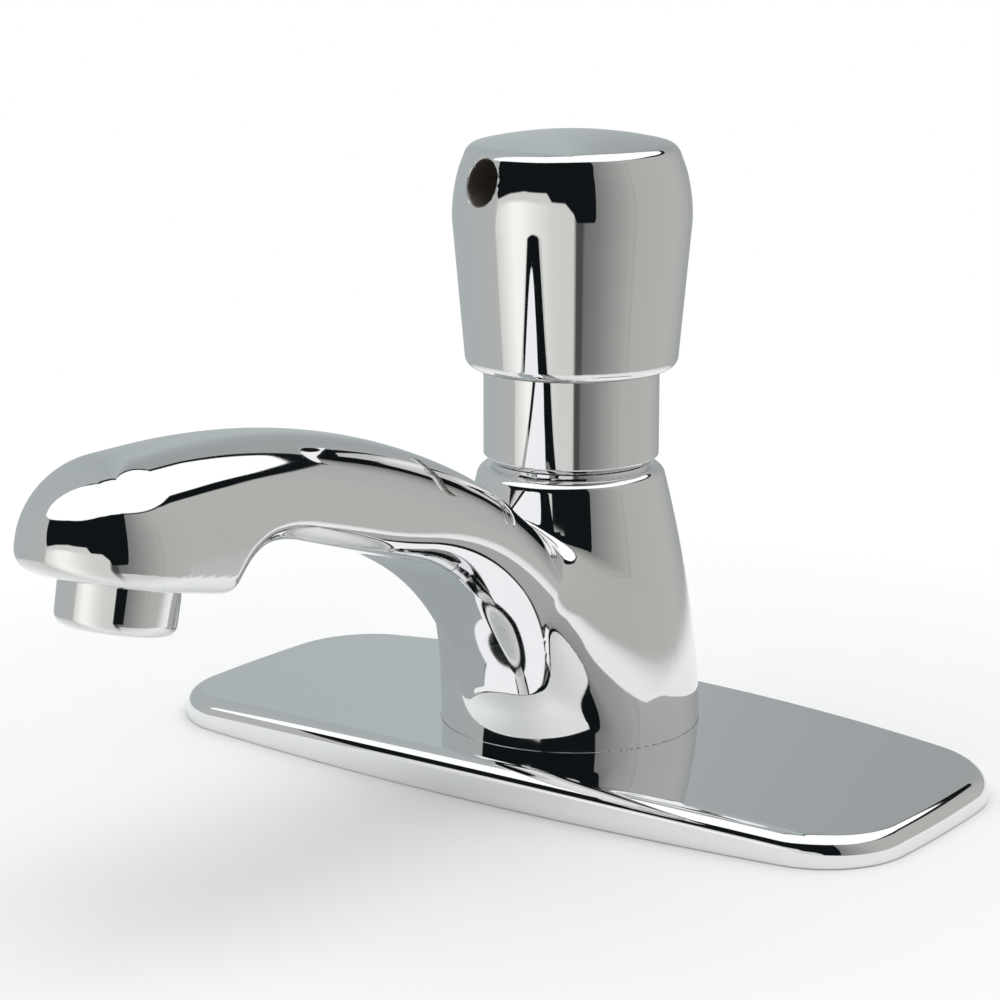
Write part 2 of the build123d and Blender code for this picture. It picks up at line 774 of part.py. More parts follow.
# Push stem, which carries the button and bears on the piston
push_stem = turned([
    (push_stem_recess_radius, piston_top),
    (push_stem_flange_radius, piston_top),
    (push_stem_flange_radius, piston_top + push_stem_flange_height),
    (push_stem_radius, piston_top + push_stem_flange_height),
    (push_stem_radius, push_stem_top),
    (0, push_stem_top),
    (0, piston_top + push_stem_recess_depth),
    (push_stem_recess_radius, piston_top + push_stem_recess_depth),
])

# Push button with its screw hole in the upper bevel
turn = radians(screw_turn)
screw_plane = Plane(
    origin=(0, 0, screw_hole_height), x_dir=(cos(turn), sin(turn), 0), z_dir=(sin(turn), -cos(turn), 0)
)
button_rims = {
    button_top_height: button_top_fillet,
    button_wide_height: button_wide_fillet,
    button_bottom: button_bottom_fillet,
}
with BuildPart() as push_button:
    with BuildSketch(Plane.XZ):
        with BuildLine():
            button_peak = (0, button_top_height + button_crown)
            TangentArc(button_peak, (button_top_radius, button_top_height), tangent=(1, 0))
            Polyline(
                (button_top_radius, button_top_height),
                (button_wide_radius, button_wide_height),
                (button_bottom_radius, button_bottom),
                (0, button_bottom),
                button_peak,
            )
        make_face()
    revolve(axis=Axis.Z)
    for rim_height, rim_fillet in button_rims.items():
        rims = push_button.edges().filter_by(GeomType.CIRCLE)
        fillet(rims.sort_by(lambda rim: abs(rim.center().Z - rim_height))[0], radius=rim_fillet)
    with BuildSketch(Plane.XY.offset(button_bottom)):
        Circle(sleeve_radius + button_gap)
    extrude(amount=button_ceiling - button_bottom, mode=Mode.SUBTRACT)
    with BuildSketch(Plane.XY.offset(button_ceiling)):
        Circle(push_stem_radius + seat_gap)
    extrude(amount=push_stem_top - button_ceiling, mode=Mode.SUBTRACT)
    with BuildSketch(screw_plane):
        Circle(set_screw_radius + seat_gap)
    extrude(amount=screw_hole_floor, mode=Mode.SUBTRACT)
    with BuildSketch(screw_plane.offset(screw_hole_floor)):
        Circle(screw_hole_radius)
    extrude(amount=button_wide_radius, mode=Mode.SUBTRACT)
with BuildPart() as button_set_screw:
    screw_start = push_stem_radius + seat_gap
    with BuildSketch(screw_plane.offset(screw_start)):
        Circle(set_screw_radius)
    extrude(amount=set_screw_length)
    with BuildSketch(screw_plane.offset(screw_start + set_screw_length)):
        RegularPolygon(hex_key / 2, 6, major_radius=False)
    extrude(amount=-hex_depth, mode=Mode.SUBTRACT)

# Aerator, made in its own frame and then placed under the head
lip_top = aerator_lip - aerator_drop
with BuildPart() as aerator_shell:
    with BuildSketch(Plane.XZ):
        with BuildLine():
            Polyline(
                (aerator_bore_radius - aerator_lip, -aerator_drop),
                (aerator_radius - aerator_taper, -aerator_drop),
                (aerator_radius, aerator_shoulder),
                (aerator_thread_radius, aerator_shoulder),
                (aerator_thread_radius, thread_top),
                (aerator_bore_radius, thread_top),
                (aerator_bore_radius, lip_top),
                (aerator_bore_radius - aerator_lip, lip_top),
                close=True,
            )
        make_face()
    revolve(axis=Axis.Z)
    fillet(aerator_shell.edges().filter_by(GeomType.CIRCLE).group_by(Axis.Z)[0].sort_by(SortBy.RADIUS)[-1],
           radius=aerator_edge)
insert_radius = aerator_bore_radius - seat_gap
insert_form = perforated_disc(insert_radius, insert_height, insert_jet_radius, insert_jet_rings)
screen_form = perforated_disc(insert_radius, screen_height, screen_hole_radius, screen_rings)
aerator_washer_form = tube(aerator_thread_radius, aerator_washer_bore, thread_top, socket_roof)
aerator_housing = placed(aerator_shell, aerator_plane)
aerator_insert = placed(insert_form, aerator_plane.offset(lip_top))
aerator_screen = placed(screen_form, aerator_plane.offset(lip_top + insert_height))
aerator_washer = placed(aerator_washer_form, aerator_plane)

# Each piece into its own file
pieces = {
    "deck_plate": deck_plate,
    "deck_gasket": deck_gasket,
    "tap_body": tap_body,
    "anti_rotation_pin": anti_rotation_pin,
    "inlet_shank": inlet_shank,
    "shank_o_ring": shank_o_ring,
    "inlet_screen": inlet_screen,
    "rubber_washer": rubber_washer,
    "fixing_washer": fixing_washer,
    "fixing_nut": fixing_nut,
    "cartridge_gasket": cartridge_gasket,
    "valve_seat": valve_seat,
    "cartridge_housing": cartridge_housing,
    "cartridge_o_ring": cartridge_o_ring,
    "cartridge_cap": cartridge_cap,
    "cap_o_ring": cap_o_ring,
    "stem_o_ring": stem_o_ring,
    "timing_screw": timing_screw,
    "bonnet_sleeve": bonnet_sleeve,
    "valve_washer": valve_washer,
    "washer_holder": washer_holder,
    "valve_nut": valve_nut,
    "valve_stem": valve_stem,
    "piston": piston,
    "cup_seal": cup_seal,
    "piston_clip": piston_clip,
    "return_spring": return_spring,
    "push_stem": push_stem,
    "push_button": push_button,
    "button_set_screw": button_set_screw,
    "aerator_housing": aerator_housing,
    "aerator_insert": aerator_insert,
    "aerator_screen": aerator_screen,
    "aerator_washer": aerator_washer,
}
os.makedirs("parts", exist_ok=True)
for name, piece in pieces.items():
    piece.part.label = name
    export_step(piece.part, "parts/" + name + ".step")
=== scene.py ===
import json
import math

import bpy
import numpy as np
from mathutils import Matrix, Vector

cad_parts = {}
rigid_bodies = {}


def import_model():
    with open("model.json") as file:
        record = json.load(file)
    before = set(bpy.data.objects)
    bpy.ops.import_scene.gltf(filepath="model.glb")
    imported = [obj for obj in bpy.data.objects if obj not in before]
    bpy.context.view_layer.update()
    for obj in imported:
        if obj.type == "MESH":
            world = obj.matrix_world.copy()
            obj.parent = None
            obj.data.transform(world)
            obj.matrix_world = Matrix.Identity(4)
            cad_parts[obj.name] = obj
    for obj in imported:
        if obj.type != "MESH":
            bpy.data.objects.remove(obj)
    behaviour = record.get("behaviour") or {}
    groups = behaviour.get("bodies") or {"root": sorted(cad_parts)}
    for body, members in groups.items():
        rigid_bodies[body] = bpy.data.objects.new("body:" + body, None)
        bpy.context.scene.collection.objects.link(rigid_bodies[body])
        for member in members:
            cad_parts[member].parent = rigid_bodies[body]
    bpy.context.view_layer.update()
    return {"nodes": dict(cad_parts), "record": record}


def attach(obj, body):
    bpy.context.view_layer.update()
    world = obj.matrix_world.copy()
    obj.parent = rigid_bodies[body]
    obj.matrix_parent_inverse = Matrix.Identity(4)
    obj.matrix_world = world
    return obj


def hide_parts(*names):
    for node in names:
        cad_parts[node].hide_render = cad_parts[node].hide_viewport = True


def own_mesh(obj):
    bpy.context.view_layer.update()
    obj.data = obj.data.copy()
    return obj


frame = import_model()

scene = bpy.context.scene
mm = 0.001
print("frame loaded:", len(frame["nodes"]), "nodes")


# ---- distance fields: every function takes and gives whole arrays, lengths in millimetres ----

# the harder of two distances, their edge rounded to an arc of the given radius
def roundMax(a, b, radius):
    return np.minimum(-radius, np.maximum(a, b)) + np.hypot(
        np.maximum(a + radius, 0), np.maximum(b + radius, 0))


# the nearer of two distances, their inner corner filled with an arc of the given radius
def roundMin(a, b, radius):
    return -roundMax(-a, -b, radius)


def smoothStep(value, low, high):
    t = np.clip((value - low) / (high - low), 0, 1)
    return t * t * (3 - 2 * t)


def mix(start, end, share):
    return start + (end - start) * share


# a flat vector turned by an angle, or by each of several
def spin(vector, angle):
    cosine, sine = np.cos(angle), np.sin(angle)
    return np.stack([vector[0] * cosine - vector[1] * sine, vector[0] * sine + vector[1] * cosine], axis=-1)


# runs and arcs laid end to end, each tangent to the last: ("run", length) or ("arc", radius, degrees, left is +)
def layChain(start, heading, steps):
    point = np.array(start, float)
    angle = math.radians(heading)
    chain = []
    for step in steps:
        direction = np.array([math.cos(angle), math.sin(angle)])
        left = np.array([-direction[1], direction[0]])
        if step[0] == "run":
            chain.append(("run", point.copy(), direction, step[1]))
            point = point + direction * step[1]
        else:
            radius, turn = step[1], math.radians(step[2])
            side = 1 if turn > 0 else -1
            centre = point + left * radius * side
            chain.append(("arc", point.copy(), direction, centre, radius, turn))
            point = centre + spin(point - centre, turn)
            angle += turn
    return chain


# signed distance to such a chain in its plane, positive on its left; both ends run on for ever
def chainDistance(chain, a, b):
    best = np.full(np.shape(a), 1e9)
    signed = np.zeros(np.shape(a))
    for index, part in enumerate(chain):
        start, direction = part[1], part[2]
        da, db = a - start[0], b - start[1]
        cross = direction[0] * db - direction[1] * da
        if part[0] == "run":
            along = da * direction[0] + db * direction[1]
            inside = np.ones(np.shape(a), bool)
            if index > 0:
                inside &= along >= 0
            if index < len(chain) - 1:
                inside &= along <= part[3]
            value = cross
        else:
            centre, radius, turn = part[3], part[4], part[5]
            side = 1 if turn > 0 else -1
            arm = start - centre
            pa, pb = a - centre[0], b - centre[1]
            swept = np.arctan2(arm[0] * pb - arm[1] * pa, arm[0] * pa + arm[1] * pb) * side
            inside = (swept >= 0) & (swept <= abs(turn))
            value = (radius - np.hypot(pa, pb)) * side
        corner = np.hypot(da, db)
        for mask, distance, sign in (
                (inside, np.abs(value), np.sign(value)), (True, corner, np.sign(cross))):
            nearer = mask & (distance < best)
            best = np.where(nearer, distance, best)
            signed = np.where(nearer, sign * distance, signed)
    return signed


# ---- meshes ----

# a mesh from arrays of vertices (mm), quads and triangles, with a normal for each vertex
def makePiece(name, verts, quads, normals, triangles=None):
    verts = np.asarray(verts, float)
    quads = np.asarray(quads, int).reshape(-1, 4)
    triangles = np.asarray([] if triangles is None else triangles, int).reshape(-1, 3)
    faceNormal = np.cross(verts[quads[:, 2]] - verts[quads[:, 0]], verts[quads[:, 3]] - verts[quads[:, 1]])
    if np.sum(faceNormal * normals[quads].mean(axis=1)) < 0:
        quads = quads[:, ::-1]
        triangles = triangles[:, ::-1]
    loops = np.concatenate([quads.ravel(), triangles.ravel()])
    sizes = np.concatenate([np.full(len(quads), 4), np.full(len(triangles), 3)])
    starts = np.concatenate([[0], np.cumsum(sizes)[:-1]])
    mesh = bpy.data.meshes.new(name)
    mesh.vertices.add(len(verts))
    mesh.vertices.foreach_set("co", (verts * mm).ravel())
    mesh.loops.add(len(loops))
    mesh.loops.foreach_set("vertex_index", loops)
    mesh.polygons.add(len(sizes))
    mesh.polygons.foreach_set("loop_start", starts)
    mesh.polygons.foreach_set("loop_total", sizes)
    mesh.polygons.foreach_set("use_smooth", np.ones(len(sizes), bool))
    mesh.update(calc_edges=True)
    mesh.validate()
    unit = normals / np.maximum(np.linalg.norm(normals, axis=1, keepdims=True), 1e-12)
    mesh.normals_split_custom_set_from_vertices(unit)
    piece = bpy.data.objects.new(name, mesh)
    scene.collection.objects.link(piece)
    return piece


# quads of a grid of rows by columns, its columns always joined round, its rows joined round if asked
def gridQuads(rows, columns, closeRows=False):
    row = np.arange(rows if closeRows else rows - 1)[:, None]
    column = np.arange(columns)[None, :]
    nextRow, nextColumn = (row + 1) % rows, (column + 1) % columns
    return np.stack([
        row * columns + column, row * columns + nextColumn,
        nextRow * columns + nextColumn, nextRow * columns + column], axis=-1).reshape(-1, 4)


# closed outline of (radius, height, fillet) corners, each rounded; gives points and their normals
def roundedOutline(corners, arcSteps=6):
    points, normals = [], []
    for index, (radius, height, fillet) in enumerate(corners):
        here = np.array([radius, height])
        before = np.array(corners[index - 1][:2])
        after = np.array(corners[(index + 1) % len(corners)][:2])
        stepIn = (here - before) / np.linalg.norm(here - before)
        stepOut = (after - here) / np.linalg.norm(after - here)
        turn = math.atan2(stepIn[0] * stepOut[1] - stepIn[1] * stepOut[0], float(stepIn @ stepOut))
        reach = fillet * math.tan(abs(turn) / 2)
        start = here - stepIn * reach
        side = 1 if turn > 0 else -1
        centre = start + np.array([-stepIn[1], stepIn[0]]) * fillet * side
        angles = np.linspace(0, turn, arcSteps + 1)
        points.append(centre + spin(start - centre, angles))
        headings = spin(stepIn, angles)
        normals.append(np.stack([headings[:, 1], -headings[:, 0]], axis=1))
    return np.concatenate(points), np.concatenate(normals)


# turns a closed outline about the Z axis: x = r sin t, y = -r cos t
def turnOutline(points, normals, segments):
    angle = np.arange(segments) * 2 * math.pi / segments
    ring = np.stack([np.sin(angle), -np.cos(angle)], axis=1)
    verts, turnedNormals = (np.concatenate([
        rows[:, None, :1] * ring[None], np.repeat(rows[:, None, 1:], segments, axis=1)],
        axis=2).reshape(-1, 3) for rows in (points, normals))
    return verts, gridQuads(len(points), segments, closeRows=True), turnedNormals


# ---- tap body: body and spout as one distance field, skinned ----

tapForm = {
    # (height, radius) of the round body
    "profile": [(7.4, 24.3), (15.3, 24.16), (18, 23.9), (20.8, 23.5), (26.2, 22.9), (31.6, 22.2), (37, 21.2),
                (42.4, 20.2), (47.7, 19.0), (50.4, 18.4), (53, 17.85)],
    "profileDegree": 4, "bottom": 7.4, "top": 56.2, "rimRound": 1.8, "footRound": 0.25,
    "crownRadius": 15.6, "shoulderRadius": 15.3, "halfWidth": 15.45,
    "spoutTop": 80.3, "noseReach": 122.7,
    "ridge": [("run", 30.0), ("arc", 174.5, -25.5), ("arc", 92.0, -14.0), ("run", 60.0)],
    "ridgeFlat": 6.5,
    "archFoot": (19.2, -7.6),
    "under": [("run", 40.0), ("arc", 63.1, -72.1), ("run", 31.5), ("arc", 28.2, -17.9), ("arc", 10.4, -43.0),
              ("run", 2.4), ("arc", 3.6, 56.0), ("run", 60.0)],
    # the roll from side to underside, and the reaches over which it changes
    "armRoll": 4.4, "headRoll": 2.9, "footRoll": 10.0, "headFade": (96, 118), "footFade": (32, 76),
    "archFade": (40, 90), "behind": 100.0, "backRound": 0.5,
    # the fillet between body and spout, and where it changes
    "blendSide": 10.0, "blendUnder": 1.0, "blendTop": 1.6, "blendFoot": 1.2,
    "sideTop": 52.0, "sideFade": (0, 18), "frontFade": (3, 13), "frontShare": 0.15, "underFade": (-5, 3),
    "aeratorReach": 121.92, "tilt": 13.0,
    # hollows about the upright axis as (radius, bottom, top), and about the aerator's as (radius, top)
    "bores": [(13.0, 32.0, 70.0), (9.0, 14.0, 33.0), (10.55, -10.0, 15.0)],
    "aeratorBores": [(9.75, 0.4), (8.6, 9.2)],
    "boxLow": (-26, -141, 5.9), "boxHigh": (26, 26, 83), "cell": 0.6, "quickCell": 1.1,
    "edgeBand": 0.7, "edgeReach": 0.4,
}
profileHeights, profileRadii = np.array(tapForm["profile"]).T
profileCurve = np.polyfit(profileHeights, profileRadii, tapForm["profileDegree"])
profileSlope = np.polyder(profileCurve)
# the ridge runs from beyond the nose to the body, in (y, z); the underside from the foot outwards, in (reach, z)
ridgeRun = tapForm["ridge"][0][1]
ridgeChain = layChain(
    (-tapForm["noseReach"] + tapForm["ridgeFlat"] - ridgeRun, tapForm["spoutTop"]), 0, tapForm["ridge"])
footReach, footHeight = tapForm["archFoot"]
underChain = layChain((footReach, footHeight - tapForm["under"][0][1]), 90, tapForm["under"])
headRun = underChain[-1]
tilt = math.radians(tapForm["tilt"])
aeratorHeight = headRun[1][1] + (tapForm["aeratorReach"] - headRun[1][0]) * math.tan(tilt)
aeratorCentre = np.array([0, -tapForm["aeratorReach"], aeratorHeight])
aeratorUp = np.array([0, math.sin(tilt), math.cos(tilt)])


def sectionDistance(across, depth):
    form = tapForm
    offset = form["halfWidth"] - form["shoulderRadius"]
    crownGap = form["crownRadius"] - form["shoulderRadius"]
    shoulderDepth = form["crownRadius"] - math.sqrt(crownGap ** 2 - offset ** 2)
    across = np.abs(across)
    side = across - form["halfWidth"]
    shoulder = np.hypot(across - offset, depth - shoulderDepth) - form["shoulderRadius"]
    crown = np.hypot(across, depth - form["crownRadius"]) - form["crownRadius"]
    onCrown = across * (form["crownRadius"] - shoulderDepth) < offset * (form["crownRadius"] - depth)
    return np.where(depth > shoulderDepth, side, np.where(onCrown, crown, shoulder))


# distance to the spout, and by how much its side lies nearer than its underside
def spoutDistance(x, y, z):
    form = tapForm
    beyond = np.maximum(-y - form["noseReach"], 0)
    across = np.hypot(x, beyond)
    depth = -chainDistance(ridgeChain, np.maximum(y, -form["noseReach"]), z)
    section = sectionDistance(across, depth)
    roundness = 1 - smoothStep(-y, *form["archFade"])
    reach = np.where(y < 0, np.hypot(x * roundness, y), y - form["behind"])
    under = -chainDistance(underChain, reach, z)
    roll = mix(form["headRoll"], form["armRoll"], 1 - smoothStep(-y, *form["headFade"]))
    roll = roll + (form["footRoll"] - form["armRoll"]) * (1 - smoothStep(-y, *form["footFade"]))
    return roundMax(roundMax(section, under, roll), y, form["backRound"]), section - under


def bodyDistance(x, y, z):
    form = tapForm
    height = np.clip(z, form["bottom"], form["top"])
    steepness = np.sqrt(1 + np.polyval(profileSlope, height) ** 2)
    side = (np.hypot(x, y) - np.polyval(profileCurve, height)) / steepness
    return roundMax(side, z - form["top"], form["rimRound"])


def tapDistance(p):
    form = tapForm
    x, y, z = p[..., 0], p[..., 1], p[..., 2]
    spout, sideways = spoutDistance(x, y, z)
    blend = mix(form["blendTop"], form["blendSide"], smoothStep(form["sideTop"] - z, *form["sideFade"]))
    beside = mix(form["frontShare"], 1, smoothStep(np.abs(x), *form["frontFade"]))
    blend = mix(form["blendFoot"], blend, beside)
    blend = mix(form["blendUnder"], blend, smoothStep(sideways, *form["underFade"]))
    outside = roundMin(bodyDistance(x, y, z), spout, blend)
    outside = roundMax(outside, form["bottom"] - z, form["footRound"])
    radius = np.hypot(x, y)
    for bore, low, high in form["bores"]:
        outside = np.maximum(outside, -np.maximum(radius - bore, np.maximum(low - z, z - high)))
    q = p - aeratorCentre
    up = q @ aeratorUp
    away = np.linalg.norm(q - up[..., None] * aeratorUp, axis=-1)
    for bore, high in form["aeratorBores"]:
        outside = np.maximum(outside, -np.maximum(away - bore, up - high))
    return outside


# the slope of a distance field, by differences either side of each point
def fieldNormals(field, points, reach=0.01):
    steps = np.eye(3) * reach
    return np.stack([field(points + step) - field(points - step) for step in steps], axis=-1) / (2 * reach)


# a skin over a distance field: one vertex in each cell that the surface crosses, drawn onto the surface in
# passes of at most a share of a cell
def skinField(field, low, high, cell, passes=4, passShare=0.3, leastSlope=0.2):
    low, high = np.array(low, float), np.array(high, float)
    counts = np.ceil((high - low) / cell).astype(int) + 1
    axes = [low[i] + cell * np.arange(counts[i]) for i in range(3)]
    values = np.empty(counts, np.float32)
    for index, x in enumerate(axes[0]):
        y, z = np.meshgrid(axes[1], axes[2], indexing="ij")
        values[index] = field(np.stack([np.full(y.shape, x), y, z], axis=-1))
    inside = values < 0
    corners = [(i, j, k) for i in (0, 1) for j in (0, 1) for k in (0, 1)]
    cut = [slice(0, -1), slice(1, None)]
    filled = sum(inside[cut[i], cut[j], cut[k]].astype(np.int8) for i, j, k in corners)
    crossed = (filled > 0) & (filled < 8)
    number = np.full(crossed.shape, -1)
    number[crossed] = np.arange(crossed.sum())
    cells = np.argwhere(crossed)
    total, weight = np.zeros((len(cells), 3)), np.zeros(len(cells))
    edges = [(a, b) for a in corners for b in corners
             if sum(b) - sum(a) == 1 and all(q >= p for p, q in zip(a, b))]
    for a, b in edges:
        va = values[cells[:, 0] + a[0], cells[:, 1] + a[1], cells[:, 2] + a[2]]
        vb = values[cells[:, 0] + b[0], cells[:, 1] + b[1], cells[:, 2] + b[2]]
        hit = (va < 0) != (vb < 0)
        share = np.where(hit, va / np.where(hit, va - vb, 1), 0)
        spot = np.array(a) + share[:, None] * (np.array(b) - np.array(a))
        total += spot * hit[:, None]
        weight += hit
    points = low + cell * (cells + total / weight[:, None])
    for _ in range(passes):
        slope = fieldNormals(field, points)
        size = np.maximum(np.sum(slope ** 2, axis=1), leastSlope)
        move = field(points)[:, None] * slope / size[:, None]
        points = points - np.clip(move, -cell * passShare, cell * passShare)
    quads = []
    for axis in range(3):
        one, two = (axis + 1) % 3, (axis + 2) % 3
        ahead = [slice(None)] * 3
        ahead[axis] = slice(1, None)
        behind = [slice(None)] * 3
        behind[axis] = slice(0, -1)
        flips = inside[tuple(behind)] != inside[tuple(ahead)]
        spots = np.argwhere(flips)
        spots = spots[(spots[:, one] > 0) & (spots[:, two] > 0)]
        spots = spots[(spots[:, one] < counts[one] - 1) & (spots[:, two] < counts[two] - 1)]
        outward = inside[spots[:, 0], spots[:, 1], spots[:, 2]]
        around = []
        for stepOne, stepTwo in ((0, 0), (1, 0), (1, 1), (0, 1)):
            spot = spots.copy()
            spot[:, one] -= stepOne
            spot[:, two] -= stepTwo
            around.append(number[spot[:, 0], spot[:, 1], spot[:, 2]])
        quad = np.stack(around, axis=1)
        quad[~outward] = quad[~outward][:, ::-1]
        quads.append(quad)
    return points, np.concatenate(quads), fieldNormals(field, points)


cell = tapForm["cell"]
tapPoints, tapQuads, tapNormals = skinField(tapDistance, tapForm["boxLow"], tapForm["boxHigh"], cell)
# the foot's edge stands in the plate's seat, so its vertices are drawn out to one clean circle
tapRadius = np.hypot(tapPoints[:, 0], tapPoints[:, 1])
footEdge = ((tapPoints[:, 2] < tapForm["bottom"] + tapForm["edgeBand"])
            & (tapRadius > tapForm["profile"][0][1] - tapForm["edgeReach"]))
edgeHeight = np.maximum(tapPoints[footEdge, 2], tapForm["bottom"])
tapPoints[footEdge, :2] *= (np.polyval(profileCurve, edgeHeight) / tapRadius[footEdge])[:, None]
tapNormals[footEdge] = np.column_stack([tapPoints[footEdge, :2], np.zeros(footEdge.sum())])
tapSkin = makePiece("tap_body_skin", tapPoints, tapQuads, tapNormals)
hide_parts("tap_body")
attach(tapSkin, "tap")
print("tap body:", len(tapPoints), "vertices,", 2 * len(tapQuads), "triangles")


# ---- push button: cone, bevel and crown as distance fields, hollowed, with its screw hole ----

buttonForm = {
    "bottom": 74.6, "bottomRadius": 19.5, "wide": 106.6, "wideRadius": 22.35, "top": 115.3, "topRadius": 19.1,
    "crown": 2.4, "bottomRound": 1.9, "wideRound": 2.4, "topRound": 1.2,
    "hollowRadius": 16.9, "hollowTop": 104.2, "hollowRound": 0.5, "stemHole": 4.6, "stemTop": 112.0,
    "screwHeight": 109.8, "screwTurn": -17.2, "screwRadius": 4.15, "screwFloor": 9.4, "threadRadius": 3.1,
    "screwEdge": 0.35, "stemRound": 0.3, "mouthRound": 0.25, "floorRound": 0.4,
    "boxLow": (-24, -24, 73.2), "boxHigh": (24, 24, 119), "cell": 0.52, "quickCell": 1.0,
}


# distance to a cone's side that passes through two (radius, height) places
def coneDistance(radius, z, lower, upper):
    lean = (upper[0] - lower[0]) / (upper[1] - lower[1])
    return (radius - lower[0] - lean * (z - lower[1])) / math.hypot(1, lean)


def buttonDistance(p):
    form = buttonForm
    x, y, z = p[..., 0], p[..., 1], p[..., 2]
    radius = np.hypot(x, y)
    flank = coneDistance(radius, z, (form["bottomRadius"], form["bottom"]), (form["wideRadius"], form["wide"]))
    bevel = coneDistance(radius, z, (form["wideRadius"], form["wide"]), (form["topRadius"], form["top"]))
    crownRadius = (form["topRadius"] ** 2 + form["crown"] ** 2) / (2 * form["crown"])
    crown = np.hypot(radius, z - form["top"] - form["crown"] + crownRadius) - crownRadius
    outside = roundMax(flank, bevel, form["wideRound"])
    outside = roundMax(outside, crown, form["topRound"])
    outside = roundMax(outside, form["bottom"] - z, form["bottomRound"])
    hollow = roundMax(radius - form["hollowRadius"], z - form["hollowTop"], form["hollowRound"])
    stem = roundMax(radius - form["stemHole"], z - form["stemTop"], form["stemRound"])
    outside = roundMax(outside, -roundMin(hollow, stem, form["stemRound"]), form["mouthRound"])
    turn = math.radians(form["screwTurn"])
    along = x * math.sin(turn) - y * math.cos(turn)
    away = np.hypot(x * math.cos(turn) + y * math.sin(turn), z - form["screwHeight"])
    screw = roundMax(away - form["screwRadius"], form["screwFloor"] - along, form["floorRound"])
    outside = roundMax(outside, -screw, form["screwEdge"])
    return np.maximum(outside, -np.maximum(away - form["threadRadius"], -along))


cell = buttonForm["cell"]
buttonPoints, buttonQuads, buttonNormals = skinField(
    buttonDistance, buttonForm["boxLow"], buttonForm["boxHigh"], cell)
buttonSkin = makePiece("push_button_skin", buttonPoints, buttonQuads, buttonNormals)
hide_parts("push_button")
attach(buttonSkin, "button")
print("push button:", 2 * len(buttonQuads), "triangles")


# ---- turned pieces: collar and aerator ring, their outlines as (radius, height, fillet) corners ----

segments = 256
collarForm = [(13.9, 57.0, 0.15), (15.0, 57.0, 0.3), (16.25, 58.25, 0.3), (16.25, 94.9, 0.25), (15.75, 95.4, 0.2),
              (13.9, 95.4, 0.15)]
points, normals = roundedOutline(collarForm)
collar = makePiece("bonnet_sleeve_skin", *turnOutline(points, normals, segments))
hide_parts("bonnet_sleeve")
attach(collar, "tap")

aeratorForm = [(6.0, -7.68, 0.2), (9.45, -7.68, 2.0), (9.65, 0.4, 0.15), (8.5, 0.4, 0.1), (8.5, 7.6, 0.2),
               (7.2, 7.6, 0.2), (7.2, -6.48, 0.1), (6.0, -6.48, 0.2)]
points, normals = roundedOutline(aeratorForm)
verts, quads, normals = turnOutline(points, normals, segments)
# the aerator's own frame: x across, z up along its tilted axis
aeratorFrame = np.array([[1, 0, 0], [0, math.cos(tilt), -math.sin(tilt)], [0, math.sin(tilt), math.cos(tilt)]])
aeratorRing = makePiece(
    "aerator_housing_skin", verts @ aeratorFrame + aeratorCentre, quads, normals @ aeratorFrame)
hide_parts("aerator_housing")
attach(aeratorRing, "tap")
print("collar and aerator ring turned")


# ---- cover plate: its section carried once round, out to the bowed outline and in to the round seat ----

plateForm = {
    "length": 158.97, "width": 68.67, "height": 7.7, "crown": 2.9, "sideBow": 5.7, "endBow": 1.6, "corner": 17.4,
    "edge": 3.4, "foot": 0.35, "wall": 3.0, "roof": 2.4, "boss": 13.75, "hole": 10.75, "seat": 24.4,
    "seatHeight": 7.4, "lip": 0.06, "lipLean": 0.3,
    "topRows": 25, "edgeRows": 13, "footRows": 5, "roofRows": 9, "columns": 720, "quickColumns": 240,
}


# points evenly spread along the outline with their outward normals: four bowed arcs and four corner arcs
def plateOutline(form, count):
    halfX, halfY = form["length"] / 2, form["width"] / 2
    cornerX, cornerY = halfX - form["endBow"], halfY - form["sideBow"]
    sideRadius = (cornerX ** 2 + form["sideBow"] ** 2) / (2 * form["sideBow"])
    endRadius = (cornerY ** 2 + form["endBow"] ** 2) / (2 * form["endBow"])
    sideCentre, endCentre = np.array([0, halfY - sideRadius]), np.array([halfX - endRadius, 0])
    # the corner's centre lies at a corner radius inside both arcs
    reachSide, reachEnd = sideRadius - form["corner"], endRadius - form["corner"]
    between = endCentre - sideCentre
    gap = np.linalg.norm(between)
    along = (reachSide ** 2 - reachEnd ** 2 + gap ** 2) / (2 * gap)
    across = math.sqrt(reachSide ** 2 - along ** 2)
    unit = between / gap
    cornerCentre = sideCentre + unit * along - np.array([-unit[1], unit[0]]) * across
    sideAngle = math.atan2(*(cornerCentre - sideCentre)[::-1])
    endAngle = math.atan2(*(cornerCentre - endCentre)[::-1])
    arcs = [(endCentre, endRadius, 0, endAngle), (cornerCentre, form["corner"], endAngle, sideAngle),
            (sideCentre, sideRadius, sideAngle, math.pi / 2)]
    lengths = [radius * abs(last - first) for _, radius, first, last in arcs]
    spots = (np.arange(count // 4) + 0.5) * sum(lengths) / (count // 4)
    angles, points, passed = np.zeros(len(spots)), np.zeros((len(spots), 2)), 0
    for (centre, radius, first, last), length in zip(arcs, lengths):
        here = (spots >= passed) & (spots < passed + length)
        angles[here] = first + (spots[here] - passed) / radius
        points[here] = centre + radius * np.stack([np.cos(angles[here]), np.sin(angles[here])], axis=1)
        passed += length
    normals = np.stack([np.cos(angles), np.sin(angles)], axis=1)
    quarters = [(points, normals)]
    for flip in ((-1, 1), (-1, -1), (1, -1)):
        order = slice(None, None, -1) if flip[0] * flip[1] < 0 else slice(None)
        quarters.append((points[order] * flip, normals[order] * flip))
    return np.concatenate([q[0] for q in quarters]), np.concatenate([q[1] for q in quarters])


